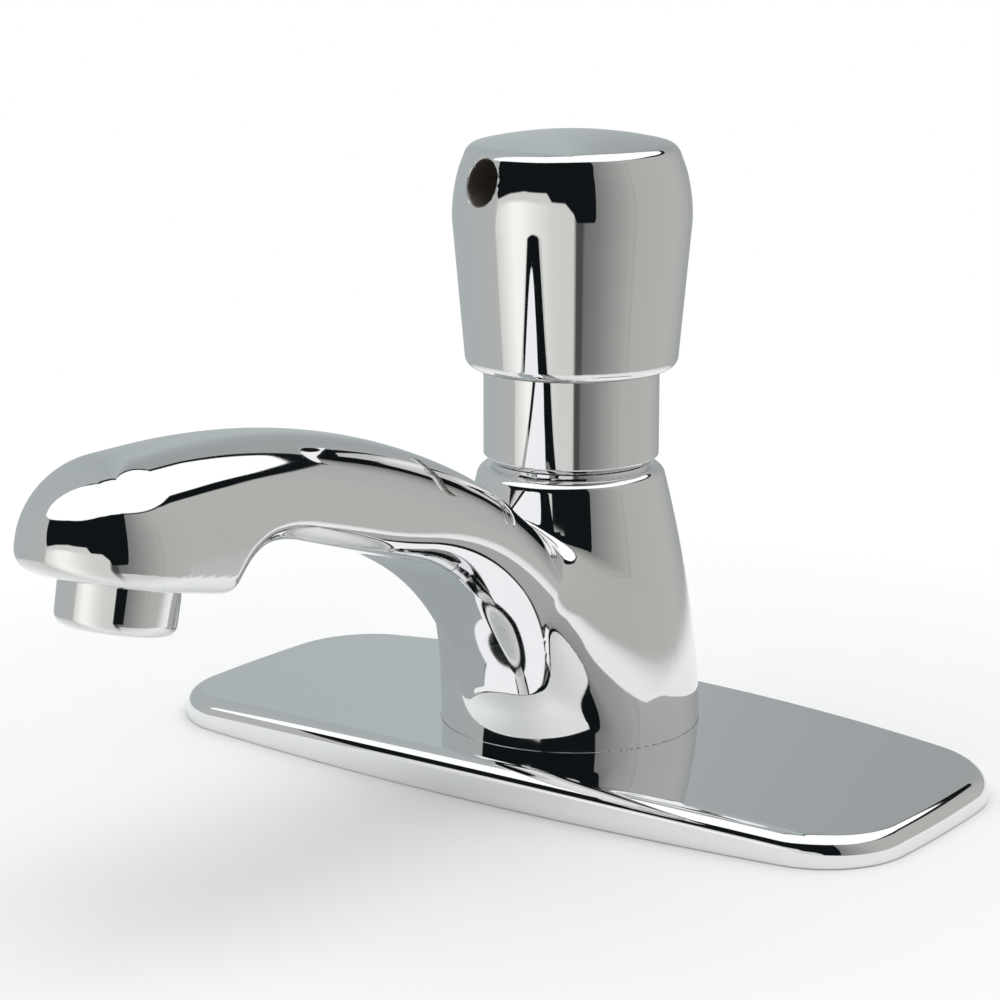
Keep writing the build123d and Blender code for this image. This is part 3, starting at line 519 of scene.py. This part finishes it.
def buildPlate(form, count):
    outline, outward = plateOutline(form, count)
    angle = np.arctan2(outline[:, 1], outline[:, 0])
    ring = np.stack([np.cos(angle), np.sin(angle)], axis=1)
    bowRadius = ((form["length"] / 2) ** 2 + form["crown"] ** 2) / (2 * form["crown"])

    def topHeight(x):
        return form["height"] - bowRadius + np.sqrt(bowRadius ** 2 - x ** 2)

    rows, rowNormals = [], []

    # one row: points in the plane, height over the deck, and how much the normal leans out and up
    def addRow(flat, height, side, out, up):
        slope = np.stack([flat[:, 0] / bowRadius, np.zeros(count), np.ones(count)], axis=1)
        rows.append(np.column_stack([flat, np.broadcast_to(height, count)]))
        rowNormals.append(np.column_stack([side * out, np.zeros(count)]) + slope * up)

    edge, lip, foot = form["edge"], form["lip"], form["foot"]
    inner, outer = ring * (form["seat"] + lip), outline - outward * edge
    addRow(ring * form["seat"], form["seatHeight"] + lip, -ring, 1, 0)
    addRow(ring * form["seat"], topHeight(inner[:, 0]) - lip, -ring, 1, form["lipLean"])
    for share in np.linspace(0, 1, form["topRows"]):
        flat = inner + (outer - inner) * share
        addRow(flat, topHeight(flat[:, 0]), outward, 0, 1)
    for turn in np.linspace(0, math.pi / 2, form["edgeRows"])[1:]:
        flat = outline - outward * edge * (1 - math.sin(turn))
        height = topHeight(outer[:, 0]) - edge * (1 - math.cos(turn))
        addRow(flat, height, outward, math.sin(turn), math.cos(turn))
    for turn in np.linspace(0, math.pi / 2, form["footRows"]):
        flat = outline - outward * foot * (1 - math.cos(turn))
        addRow(flat, foot * (1 - math.sin(turn)), outward, math.cos(turn), -math.sin(turn))
    wall, roof = form["wall"], form["roof"]
    addRow(outline - outward * (wall - lip), 0, -outward, 0, -1)
    inside = outline - outward * wall
    addRow(inside, lip, -outward, 1, 0)
    addRow(inside, topHeight(inside[:, 0]) - roof - lip, -outward, 1, 0)
    flat = inside - outward * lip
    addRow(flat, topHeight(flat[:, 0]) - roof, -outward, 0, -1)
    boss = ring * form["boss"]
    for share in np.linspace(0, 1, form["roofRows"])[1:]:
        step = flat + (ring * (form["boss"] + lip) - flat) * share
        addRow(step, topHeight(step[:, 0]) - roof, -outward, 0, -1)
    addRow(boss, topHeight(boss[:, 0]) - roof - lip, ring, 1, 0)
    addRow(boss, lip, ring, 1, 0)
    addRow(ring * (form["boss"] - lip), 0, ring, 0, -1)
    addRow(ring * (form["hole"] + lip), 0, ring, 0, -1)
    addRow(ring * form["hole"], lip, -ring, 1, 0)
    addRow(ring * form["hole"], form["seatHeight"] - lip, -ring, 1, 0)
    addRow(ring * (form["hole"] + lip), form["seatHeight"], ring, 0, 1)
    addRow(ring * (form["seat"] - lip), form["seatHeight"], ring, 0, 1)
    quads = gridQuads(len(rows), count, closeRows=True)
    return np.concatenate(rows), quads, np.concatenate(rowNormals)


columns = plateForm["columns"]
plate = makePiece("deck_plate_skin", *buildPlate(plateForm, columns))
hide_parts("deck_plate")
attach(plate, "tap")
print("cover plate:", 2 * len(plate.data.polygons), "triangles")


# ---- inlet shank: one skin whose radius follows height and turn, so that its thread is a true helix ----

shankForm = {
    "bottom": -54.0, "bore": 6.0, "radius": 10.45, "pitch": 1.814, "depth": 0.9, "threadTop": -13.0,
    "spigotBottom": -12.0, "spigot": 12.0, "top": 15.0, "groove": (9.85, 12.55, 8.95), "lip": 0.15,
    "stepsPerTurn": 12, "crest": 1.15, "flank": 2.3, "leadIn": 2.0, "leadOut": 2.5,
    "columns": 120, "quickColumns": 48,
}


def buildShank(form, columns):
    lip = form["lip"]
    low, high, grooveRadius = form["groove"]
    radius = form["radius"]
    plain = [
        (radius - lip, form["threadTop"]), (form["spigot"] - lip, form["spigotBottom"]),
        (form["spigot"], form["spigotBottom"] + lip), (form["spigot"], -lip), (form["spigot"] - lip, 0),
        (radius + lip, 0), (radius, lip), (radius, low - lip), (radius - lip, low), (grooveRadius + lip, low),
        (grooveRadius, low + lip), (grooveRadius, high - lip), (grooveRadius + lip, high), (radius - lip, high),
        (radius, high + lip), (radius, form["top"] - lip), (radius - lip, form["top"]),
        (form["bore"] + lip, form["top"]), (form["bore"], form["top"] - lip), (form["bore"], form["bottom"] + lip),
        (form["bore"] + lip, form["bottom"]), (radius - form["depth"] - lip, form["bottom"])]
    step = form["pitch"] / form["stepsPerTurn"]
    heights = np.arange(form["bottom"] + step, form["threadTop"] - step, step)
    angle = np.arange(columns) * 2 * math.pi / columns
    phase = (heights[:, None] / form["pitch"] - angle[None] / (2 * math.pi)) % 1
    crest = np.clip(form["crest"] - form["flank"] * np.abs(phase - 0.5), 0, 1)
    fade = smoothStep(heights, form["bottom"], form["bottom"] + form["leadIn"]) * (
        1 - smoothStep(heights, form["threadTop"] - form["leadOut"], form["threadTop"]))
    threadRadius = radius - form["depth"] + form["depth"] * crest * fade[:, None]
    radii = np.concatenate([threadRadius, np.repeat([[r] for r, _ in plain], columns, axis=1)])
    levels = np.concatenate([heights, [z for _, z in plain]])
    grid = np.stack([
        radii * np.cos(angle), radii * np.sin(angle), np.repeat(levels[:, None], columns, 1)], axis=-1)
    # the normal is the cross product of the steps round and along the section
    around = np.roll(grid, -1, axis=1) - np.roll(grid, 1, axis=1)
    along = np.roll(grid, -1, axis=0) - np.roll(grid, 1, axis=0)
    slope = np.cross(around, along)
    return grid.reshape(-1, 3), gridQuads(len(levels), columns, closeRows=True), slope.reshape(-1, 3)


columns = shankForm["columns"]
shank = makePiece("inlet_shank_skin", *buildShank(shankForm, columns))
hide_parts("inlet_shank")
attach(shank, "tap")


# ---- return spring: a round wire wound along a helix, its ends closed ----

springForm = {
    "radius": 9.9, "wire": 0.7, "bottom": 58.0, "top": 76.0, "turns": 5, "pressed": 10.0,
    "stepsPerTurn": 40, "sides": 12,
}


def buildSpring(form):
    sides = form["sides"]
    count = form["turns"] * form["stepsPerTurn"] + 1
    angle = np.arange(count) * 2 * math.pi / form["stepsPerTurn"]
    rise = form["top"] - form["bottom"] - 2 * form["wire"]
    out = np.stack([np.cos(angle), np.sin(angle), np.zeros(count)], axis=1)
    centre = out * form["radius"]
    centre[:, 2] = form["bottom"] + form["wire"] + rise * np.linspace(0, 1, count)
    climb = rise / (form["turns"] * 2 * math.pi * form["radius"])
    ahead = np.stack([-np.sin(angle), np.cos(angle), np.full(count, climb)], axis=1)
    ahead /= np.linalg.norm(ahead, axis=1, keepdims=True)
    up = np.cross(out, ahead)
    wind = np.arange(sides) * 2 * math.pi / sides
    normals = out[:, None] * np.cos(wind)[None, :, None] + up[:, None] * np.sin(wind)[None, :, None]
    verts = (centre[:, None] + normals * form["wire"]).reshape(-1, 3)
    first, last = len(verts), len(verts) + 1
    column = np.arange(sides)
    nextColumn, endRow = (column + 1) % sides, (count - 1) * sides
    caps = np.concatenate([
        np.stack([nextColumn, column, np.full(sides, first)], axis=1),
        np.stack([endRow + column, endRow + nextColumn, np.full(sides, last)], axis=1)])
    verts = np.concatenate([verts, centre[[0, -1]]])
    normals = np.concatenate([normals.reshape(-1, 3), -ahead[:1], ahead[-1:]])
    return verts, gridQuads(count, sides), normals, caps


spring = makePiece("return_spring_skin", *buildSpring(springForm))
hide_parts("return_spring")
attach(spring, "tap")
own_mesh(spring)
print("shank and spring wound")


# ---- materials: each effect is a node group, every number that holds all over is on the shader itself ----

def addNode(tree, kind, inputs=None, **settings):
    node = tree.nodes.new(kind)
    for key, value in settings.items():
        setattr(node, key, value)
    for key, value in (inputs or {}).items():
        if isinstance(value, bpy.types.NodeSocket):
            tree.links.new(value, node.inputs[key])
        else:
            node.inputs[key].default_value = value
    return node


def opaque(colour, share=1.0):
    return (*[part * share for part in colour], 1)


# nodes for one sum, one vector sum, one change of range and one mix; each gives its result
def calc(tree, operation, *values, **settings):
    return addNode(tree, "ShaderNodeMath", dict(enumerate(values)), operation=operation, **settings).outputs[0]


def calcVector(tree, operation, *values):
    node = addNode(tree, "ShaderNodeVectorMath", dict(enumerate(values)), operation=operation)
    return node.outputs["Value" if operation in ("LENGTH", "DOT_PRODUCT") else "Vector"]


def remap(tree, value, low, high, newLow=0.0, newHigh=1.0, **settings):
    return addNode(tree, "ShaderNodeMapRange", {
        "Value": value, "From Min": low, "From Max": high, "To Min": newLow, "To Max": newHigh},
        **settings).outputs[0]


def mixNodes(tree, share, under, over, kind="RGBA"):
    first, second, result = (6, 7, 2) if kind == "RGBA" else (2, 3, 0)
    return addNode(tree, "ShaderNodeMix", {0: share, first: under, second: over}, data_type=kind).outputs[result]


def makeGroup(name, inputs, outputs):
    group = bpy.data.node_groups.new(name, "ShaderNodeTree")
    for label, kind, value in inputs:
        socket = group.interface.new_socket(label, in_out="INPUT", socket_type="NodeSocket" + kind)
        if value is not None:
            socket.default_value = value
    for label, kind in outputs:
        group.interface.new_socket(label, in_out="OUTPUT", socket_type="NodeSocket" + kind)
    return group, group.nodes.new("NodeGroupInput").outputs, group.nodes.new("NodeGroupOutput").inputs


# handling: faint wiped smears and fine hairlines, in real size on Object coordinates
handling, given, made = makeGroup(
    "handling",
    [("Vector", "Vector", None), ("Smear Size", "Float", 40.0), ("Hairline Size", "Float", 900.0),
     ("Low", "Float", 0.03), ("High", "Float", 0.08)],
    [("Roughness", "Float"), ("Mask", "Float")])
smear = addNode(handling, "ShaderNodeTexNoise", {
    "Vector": given["Vector"], "Scale": given["Smear Size"], "Detail": 5.0, "Roughness": 0.6, "Distortion": 0.6})
stretch = addNode(handling, "ShaderNodeMapping", {"Vector": given["Vector"], "Scale": (1.0, 1.0, 14.0)})
hairline = addNode(handling, "ShaderNodeTexNoise", {
    "Vector": stretch.outputs[0], "Scale": given["Hairline Size"], "Detail": 2.0})
mixed = calc(handling, "MULTIPLY", smear.outputs["Fac"], hairline.outputs["Fac"])
handling.links.new(remap(handling, mixed, 0.15, 0.4, given["Low"], given["High"]), made["Roughness"])
handling.links.new(smear.outputs["Fac"], made["Mask"])

# grain: moulded or cast skin, a fine cell pattern over a soft unevenness
grain, given, made = makeGroup(
    "grain",
    [("Vector", "Vector", None), ("Size", "Float", 1500.0), ("Light", "Color", (1, 1, 1, 1)),
     ("Dark", "Color", (0, 0, 0, 1))],
    [("Color", "Color"), ("Height", "Float"), ("Mask", "Float")])
cells = addNode(grain, "ShaderNodeTexVoronoi", {"Vector": given["Vector"], "Scale": given["Size"]})
uneven = addNode(grain, "ShaderNodeTexNoise", {"Vector": given["Vector"], "Scale": 120.0, "Detail": 4.0})
grain.links.new(mixNodes(grain, uneven.outputs["Fac"], given["Dark"], given["Light"]), made["Color"])
grain.links.new(cells.outputs["Distance"], made["Height"])
grain.links.new(uneven.outputs["Fac"], made["Mask"])

# turning: concentric tool marks round a vertical axis, as a lathe leaves them
turning, given, made = makeGroup(
    "turning",
    [("Vector", "Vector", None), ("Marks", "Float", 4000.0), ("Low", "Float", 0.2), ("High", "Float", 0.35)],
    [("Roughness", "Float"), ("Height", "Float")])
flatten = addNode(turning, "ShaderNodeMapping", {"Vector": given["Vector"], "Scale": (0.02, 0.02, 1.0)})
marks = addNode(turning, "ShaderNodeTexNoise", {
    "Vector": flatten.outputs[0], "Scale": given["Marks"], "Detail": 3.0})
turning.links.new(
    remap(turning, marks.outputs["Fac"], 0.3, 0.7, given["Low"], given["High"]), made["Roughness"])
turning.links.new(marks.outputs["Fac"], made["Height"])


def startMaterial(name, metallic, baseColour, roughness):
    material = bpy.data.materials.new(name)
    material.use_nodes = True
    tree = material.node_tree
    shader = tree.nodes["Principled BSDF"].inputs
    shader["Metallic"].default_value = metallic
    shader["Base Color"].default_value = opaque(baseColour)
    shader["Roughness"].default_value = roughness
    return material, tree, shader, addNode(tree, "ShaderNodeTexCoord").outputs["Object"]


def useGroup(tree, group, inputs):
    return addNode(tree, "ShaderNodeGroup", inputs, node_tree=group).outputs


def bumpFrom(tree, shader, height, distance, strength):
    bump = addNode(tree, "ShaderNodeBump", {"Height": height, "Distance": distance, "Strength": strength})
    tree.links.new(bump.outputs[0], shader["Normal"])


# chrome: mirror plating over polished metal, slightly cool, with faint smears and a hardly visible unevenness
def chromeMaterial(name, colour, smearSize, low, high, dulled=0.985):
    material, tree, shader, place = startMaterial(name, 1.0, colour, low)
    wiped = useGroup(tree, handling, {"Vector": place, "Smear Size": smearSize, "Low": low, "High": high})
    tree.links.new(wiped["Roughness"], shader["Roughness"])
    tree.links.new(mixNodes(tree, wiped["Mask"], opaque(colour, dulled), opaque(colour)), shader["Base Color"])
    return material


def metalMaterial(name, colour, low, high, marksPerMetre, depth=0.00001, dulled=0.86, bump=0.4):
    material, tree, shader, place = startMaterial(name, 1.0, colour, low)
    tool = useGroup(tree, turning, {"Vector": place, "Marks": marksPerMetre, "Low": low, "High": high})
    tree.links.new(tool["Roughness"], shader["Roughness"])
    shade = useGroup(tree, grain, {"Vector": place, "Light": opaque(colour), "Dark": opaque(colour, dulled)})
    tree.links.new(shade["Color"], shader["Base Color"])
    bumpFrom(tree, shader, tool["Height"], depth, bump)
    return material


def mouldedMaterial(name, colour, roughness, size, depth, dulled=0.8, vary=0.15, bump=0.5):
    material, tree, shader, place = startMaterial(name, 0.0, colour, roughness)
    skin = useGroup(tree, grain, {
        "Vector": place, "Size": size, "Light": opaque(colour), "Dark": opaque(colour, dulled)})
    tree.links.new(skin["Color"], shader["Base Color"])
    patchy = remap(tree, skin["Mask"], 0.0, 1.0, roughness * (1 - vary), roughness * (1 + vary))
    tree.links.new(patchy, shader["Roughness"])
    bumpFrom(tree, shader, skin["Height"], depth, bump)
    return material


finishes = {
    "polished_chrome": chromeMaterial(
        "polished chrome", (0.84, 0.845, 0.855), smearSize=38.0, low=0.015, high=0.05),
    "brass": metalMaterial("machined brass", (0.80, 0.62, 0.32), low=0.16, high=0.3, marksPerMetre=5000.0),
    "steel": metalMaterial("drawn steel", (0.62, 0.63, 0.65), low=0.18, high=0.32, marksPerMetre=6000.0),
    "black_rubber": mouldedMaterial(
        "black rubber", (0.035, 0.035, 0.037), roughness=0.62, size=2600.0, depth=0.00002),
    "white_acetal": mouldedMaterial(
        "white acetal", (0.82, 0.81, 0.78), roughness=0.42, size=3200.0, depth=0.00001),
}
oxide = metalMaterial("black oxide", (0.09, 0.085, 0.08), low=0.3, high=0.5, marksPerMetre=7000.0)

# painted shade: the screw's hole in the button, the button's hollow and its rim below get a darker, duller colour
# that stands in for their shade, the hole masked by the distance from its axis. Margins are in millimetres past
# the cut
boreShadeForm = {
    "holeMargin": 0.12, "soft": 0.12, "hollowMargin": 0.15, "roofMargin": 0.2, "rimLow": 0.4, "rimHigh": 0.6,
    "colour": (0.4, 0.37, 0.34), "roughness": 0.5,
}
buttonChrome = finishes["polished_chrome"].copy()
buttonChrome.name = "polished chrome with painted bore shade"
tree = buttonChrome.node_tree
shader = tree.nodes["Principled BSDF"].inputs
turn = math.radians(buttonForm["screwTurn"])
place = addNode(tree, "ShaderNodeTexCoord").outputs["Object"]
fromHole = calcVector(tree, "ADD", place, (0, 0, -buttonForm["screwHeight"] * mm))
sideways = calcVector(tree, "DOT_PRODUCT", fromHole, (math.cos(turn), math.sin(turn), 0))
outwards = calcVector(tree, "DOT_PRODUCT", fromHole, (math.sin(turn), -math.cos(turn), 0))
level = addNode(tree, "ShaderNodeSeparateXYZ", {0: fromHole}).outputs[2]
square = calc(tree, "ADD", calc(tree, "POWER", sideways, 2.0), calc(tree, "POWER", level, 2.0))
distance = calc(tree, "POWER", square, 0.5)
boreRadius = buttonForm["screwRadius"] + boreShadeForm["holeMargin"]
inBore = remap(tree, distance, boreRadius * mm, (boreRadius + boreShadeForm["soft"]) * mm, 1.0, 0.0)
inBore = calc(tree, "MULTIPLY", inBore, calc(tree, "GREATER_THAN", outwards, 0.0))
heights = addNode(tree, "ShaderNodeSeparateXYZ", {0: place}).outputs[2]
fromAxis = calcVector(tree, "LENGTH", calcVector(tree, "MULTIPLY", place, (1, 1, 0)))
within = calc(tree, "LESS_THAN", fromAxis, (buttonForm["hollowRadius"] + boreShadeForm["hollowMargin"]) * mm)
underRoof = calc(tree, "LESS_THAN", heights, (buttonForm["hollowTop"] + boreShadeForm["roofMargin"]) * mm)
onRim = remap(tree, heights, (buttonForm["bottom"] + boreShadeForm["rimLow"]) * mm,
              (buttonForm["bottom"] + boreShadeForm["rimHigh"]) * mm, 1.0, 0.0)
# painted shade: the darker colour and roughness go wherever the hole, hollow or rim mask holds
paintedShade = calc(tree, "MAXIMUM", calc(tree, "MULTIPLY", within, underRoof), onRim)
paintedShade = calc(tree, "MAXIMUM", inBore, paintedShade)
for socket, value, kind in (
        ("Base Color", opaque(boreShadeForm["colour"]), "RGBA"), ("Roughness", boreShadeForm["roughness"], "FLOAT")):
    plated = shader[socket].links[0].from_socket
    tree.links.new(mixNodes(tree, paintedShade, plated, value, kind), shader[socket])

for piece in (tapSkin, collar, aeratorRing, plate):
    piece.data.materials.append(finishes["polished_chrome"])
buttonSkin.data.materials.append(buttonChrome)
shank.data.materials.append(finishes["brass"])
spring.data.materials.append(finishes["steel"])
special = {"button_set_screw": oxide, "cartridge_housing": finishes["polished_chrome"]}
slotOf = {part["node"]: part["material_slot"] for part in frame["record"]["subparts"]}
for node, piece in frame["nodes"].items():
    finish = special.get(node) or finishes[slotOf[node]]
    for slot in piece.material_slots:
        slot.material = finish
print("materials set")


# ---- floor, light and camera ----

camera = bpy.data.objects.new("camera", bpy.data.cameras.new("camera"))
scene.collection.objects.link(camera)
cameraForm = {
    "place": (0.30439, -0.44526, 0.17833), "right": (0.81156, 0.58427, -0.00043),
    "up": (-0.13593, 0.18952, 0.97242), "forward": (-0.56824, 0.78912, -0.23322),
    "lens": 107.2, "sensor": 36.0, "near": 0.01, "far": 20,
}
right, up, forward = (Vector(cameraForm[key]) for key in ("right", "up", "forward"))
turned = Matrix((right, up, -forward)).transposed().to_4x4()
camera.matrix_world = Matrix.Translation(cameraForm["place"]) @ turned
camera.data.lens = cameraForm["lens"]
camera.data.sensor_width = cameraForm["sensor"]
camera.data.clip_start, camera.data.clip_end = cameraForm["near"], cameraForm["far"]
scene.camera = camera
scene.view_settings.view_transform = "Standard"

# a round pale table that fades into the white background: where it has faded, the lens sees plain white from
# above, and the chrome sees the studio
floorForm = {
    "radius": 0.4, "sides": 96, "fadeFrom": 0.1, "fadeTo": 0.23, "colour": (0.93, 0.93, 0.925), "roughness": 0.7,
}
ring = np.linspace(0, 2 * math.pi, floorForm["sides"] + 1)[:-1]
floorMesh = bpy.data.meshes.new("table")
floorMesh.from_pydata(
    [(floorForm["radius"] * math.cos(a), floorForm["radius"] * math.sin(a), 0) for a in ring], [],
    [list(range(len(ring)))])
floor = bpy.data.objects.new("table", floorMesh)
scene.collection.objects.link(floor)
pale, tree, shader, place = startMaterial("pale table", 0.0, floorForm["colour"], floorForm["roughness"])
fade = remap(tree, calcVector(tree, "LENGTH", place), floorForm["fadeFrom"], floorForm["fadeTo"], 1.0, 0.0,
             interpolation_type="SMOOTHSTEP")
rays = addNode(tree, "ShaderNodeLightPath").outputs
facing = addNode(tree, "ShaderNodeNewGeometry").outputs
seen = calc(tree, "SUBTRACT", rays["Is Camera Ray"], facing["Backfacing"], use_clamp=True)
glow = calc(tree, "MULTIPLY", seen, calc(tree, "SUBTRACT", 1.0, fade))
tree.links.new(mixNodes(tree, glow, opaque(floorForm["colour"]), (0, 0, 0, 1)), shader["Base Color"])
tree.links.new(calc(tree, "MAXIMUM", seen, fade), shader["Alpha"])
tree.links.new(glow, shader["Emission Strength"])
shader["Emission Color"].default_value = (1, 1, 1, 1)
floorMesh.materials.append(pale)

# studio round the tap, drawn by direction. Angles are in degrees from the lens, left is minus; heights are in
# degrees over the level; brightness is as a chromed surface shows it, 0 to 255
studioForm = {
    "wall": [(-180, 181), (-165, 172), (-150, 174), (-120, 176), (-95, 177), (-80, 178), (-76, 205), (-20, 205),
             (0.5, 204), (2, 74), (8.5, 74), (10.5, 110), (24, 124), (40, 148), (52, 160), (60, 170), (61.5, 158),
             (63, 172), (90, 176), (120, 178), (140, 170), (152, 160), (168, 158), (175, 166), (180, 181)],
    "table": [(-180, 208), (-95, 206), (-84, 190), (-78, 212), (-70, 228), (-60, 246), (-50, 244), (-36, 226),
              (-20, 208), (0, 204), (2, 120), (8, 120), (12, 200), (60, 210), (120, 210), (180, 208)],
    "tableEdge": [(-180, -22), (-82, -22), (-77, 4), (-62, 8), (-50, 9.5), (-20, 9.5), (-8, 9), (-2, 6),
                  (1.5, -4), (2, -25), (8.5, -25), (11, -23), (180, -22)],
    "boxEdge": [(-180, 77), (-150, 77), (-122, 75), (-113, 68), (-109, 52), (-106, 32), (-100, 25), (-90, 27),
                (-65, 37), (-45, 43), (-20, 52), (0, 56), (22, 57), (40, 55), (60, 52), (90, 47.5), (110, 43.5),
                (118, 41), (124, 38), (130, 34.5), (140, 32), (150, 33.5), (157, 42), (172, 65), (180, 75)],
    "darkDepth": [(-180, 2.5), (-122, 3), (-113, 5), (-108, 2), (-104, 0), (-91, 0), (-89.5, 2), (-78, 25),
                  (-65, 25), (-50, 26), (-27, 33), (-21, 41), (-8, 44), (0, 52), (3, 58), (21, 59), (23, 1.4),
                  (85, 1.6), (105, 4), (119, 7), (130, 4.5), (142, 4), (150, 4), (156, 5), (172, 5), (180, 3)],
    "backTint": (0.91, 0.985, 1.0), "rightTint": (1.0, 0.995, 0.95), "tableTint": (1.0, 0.995, 0.955),
    "warmAt": 25, "warmTo": 150, "warmFade": 50,
    "reflectance": 0.86, "dark": (0.006, 0.0085, 0.0095), "boxLight": 1.2, "diffuseGain": 1.75,
    "tableSoft": 3.0, "darkSoft": 1.2, "boxSoft": 0.8,
}

def linearGrey(value):
    value = value / 255
    return ((value + 0.055) / 1.055) ** 2.4 if value > 0.04045 else value / 12.92


world = bpy.data.worlds.new("studio")
scene.world = world
world.use_nodes = True
tree = world.node_tree
tree.nodes.clear()
direction = addNode(tree, "ShaderNodeTexCoord").outputs["Generated"]
lensAngle = math.atan2(-forward.y, -forward.x)
spun = addNode(tree, "ShaderNodeVectorRotate", {"Vector": direction, "Angle": -lensAngle}, rotation_type="Z_AXIS")
split = addNode(tree, "ShaderNodeSeparateXYZ", {0: spun.outputs[0]}).outputs
turnShare = remap(tree, calc(tree, "ARCTAN2", split[1], split[0]), -math.pi, math.pi)
height = calc(tree, "MULTIPLY", calc(tree, "ARCSINE", split[2]), 180 / math.pi)


# a colour that changes with the angle round the tap, from (angle, colour) stops
def rampRound(stops):
    node = addNode(tree, "ShaderNodeValToRGB", {"Fac": turnShare})
    ramp = node.color_ramp
    spots = [((angle + 180) / 360, colour) for angle, colour in stops]
    ramp.elements[0].position, ramp.elements[1].position = spots[0][0], spots[-1][0]
    for position, _ in spots[1:-1]:
        ramp.elements.new(position)
    for element, (_, colour) in zip(ramp.elements, spots):
        element.color = opaque(colour)
    return node.outputs[0]


def tintedRamp(stops, tintAt):
    return rampRound([
        (angle, [linearGrey(value) / studioForm["reflectance"] * part for part in tintAt(angle)])
        for angle, value in stops])


# a height in degrees that changes with the angle round the tap; kept in the ramp as a share of 0 to 1
def heightRound(stops):
    grey = rampRound([(angle, [(value + 90) / 180] * 3) for angle, value in stops])
    return remap(tree, grey, 0.0, 1.0, -90.0, 90.0)


# 0 below an edge, 1 above it, softly over the given degrees
def above(edge, softness):
    over = calc(tree, "SUBTRACT", height, edge)
    return remap(tree, over, -softness / 2, softness / 2, interpolation_type="SMOOTHSTEP")


# cool behind the tap, warm on the lens side
def wallTint(angle):
    share = min(1, max(0, (studioForm["warmTo"] - abs(angle - studioForm["warmAt"])) / studioForm["warmFade"]))
    return [mix(cool, warm, share) for cool, warm in zip(studioForm["backTint"], studioForm["rightTint"])]


walls = tintedRamp(studioForm["wall"], wallTint)
tableLight = tintedRamp(studioForm["table"], lambda angle: studioForm["tableTint"])
boxEdge = heightRound(studioForm["boxEdge"])
darkEdge = calc(tree, "SUBTRACT", boxEdge, heightRound(studioForm["darkDepth"]))
tableEdge = heightRound(studioForm["tableEdge"])
light = mixNodes(tree, above(tableEdge, studioForm["tableSoft"]), tableLight, walls)
light = mixNodes(tree, above(darkEdge, studioForm["darkSoft"]), light, opaque(studioForm["dark"]))
light = mixNodes(tree, above(boxEdge, studioForm["boxSoft"]), light, opaque([studioForm["boxLight"]] * 3))
rays = addNode(tree, "ShaderNodeLightPath").outputs
light = mixNodes(tree, rays["Is Camera Ray"], light, (1, 1, 1, 1))
# matt surfaces get more of the light than the mirrors show, so that the floor stays pale
strength = remap(tree, rays["Is Diffuse Ray"], 0.0, 1.0, 1.0, studioForm["diffuseGain"])
background = addNode(tree, "ShaderNodeBackground", {"Color": light, "Strength": strength})
addNode(tree, "ShaderNodeOutputWorld", {"Surface": background.outputs[0]})
print("studio set")
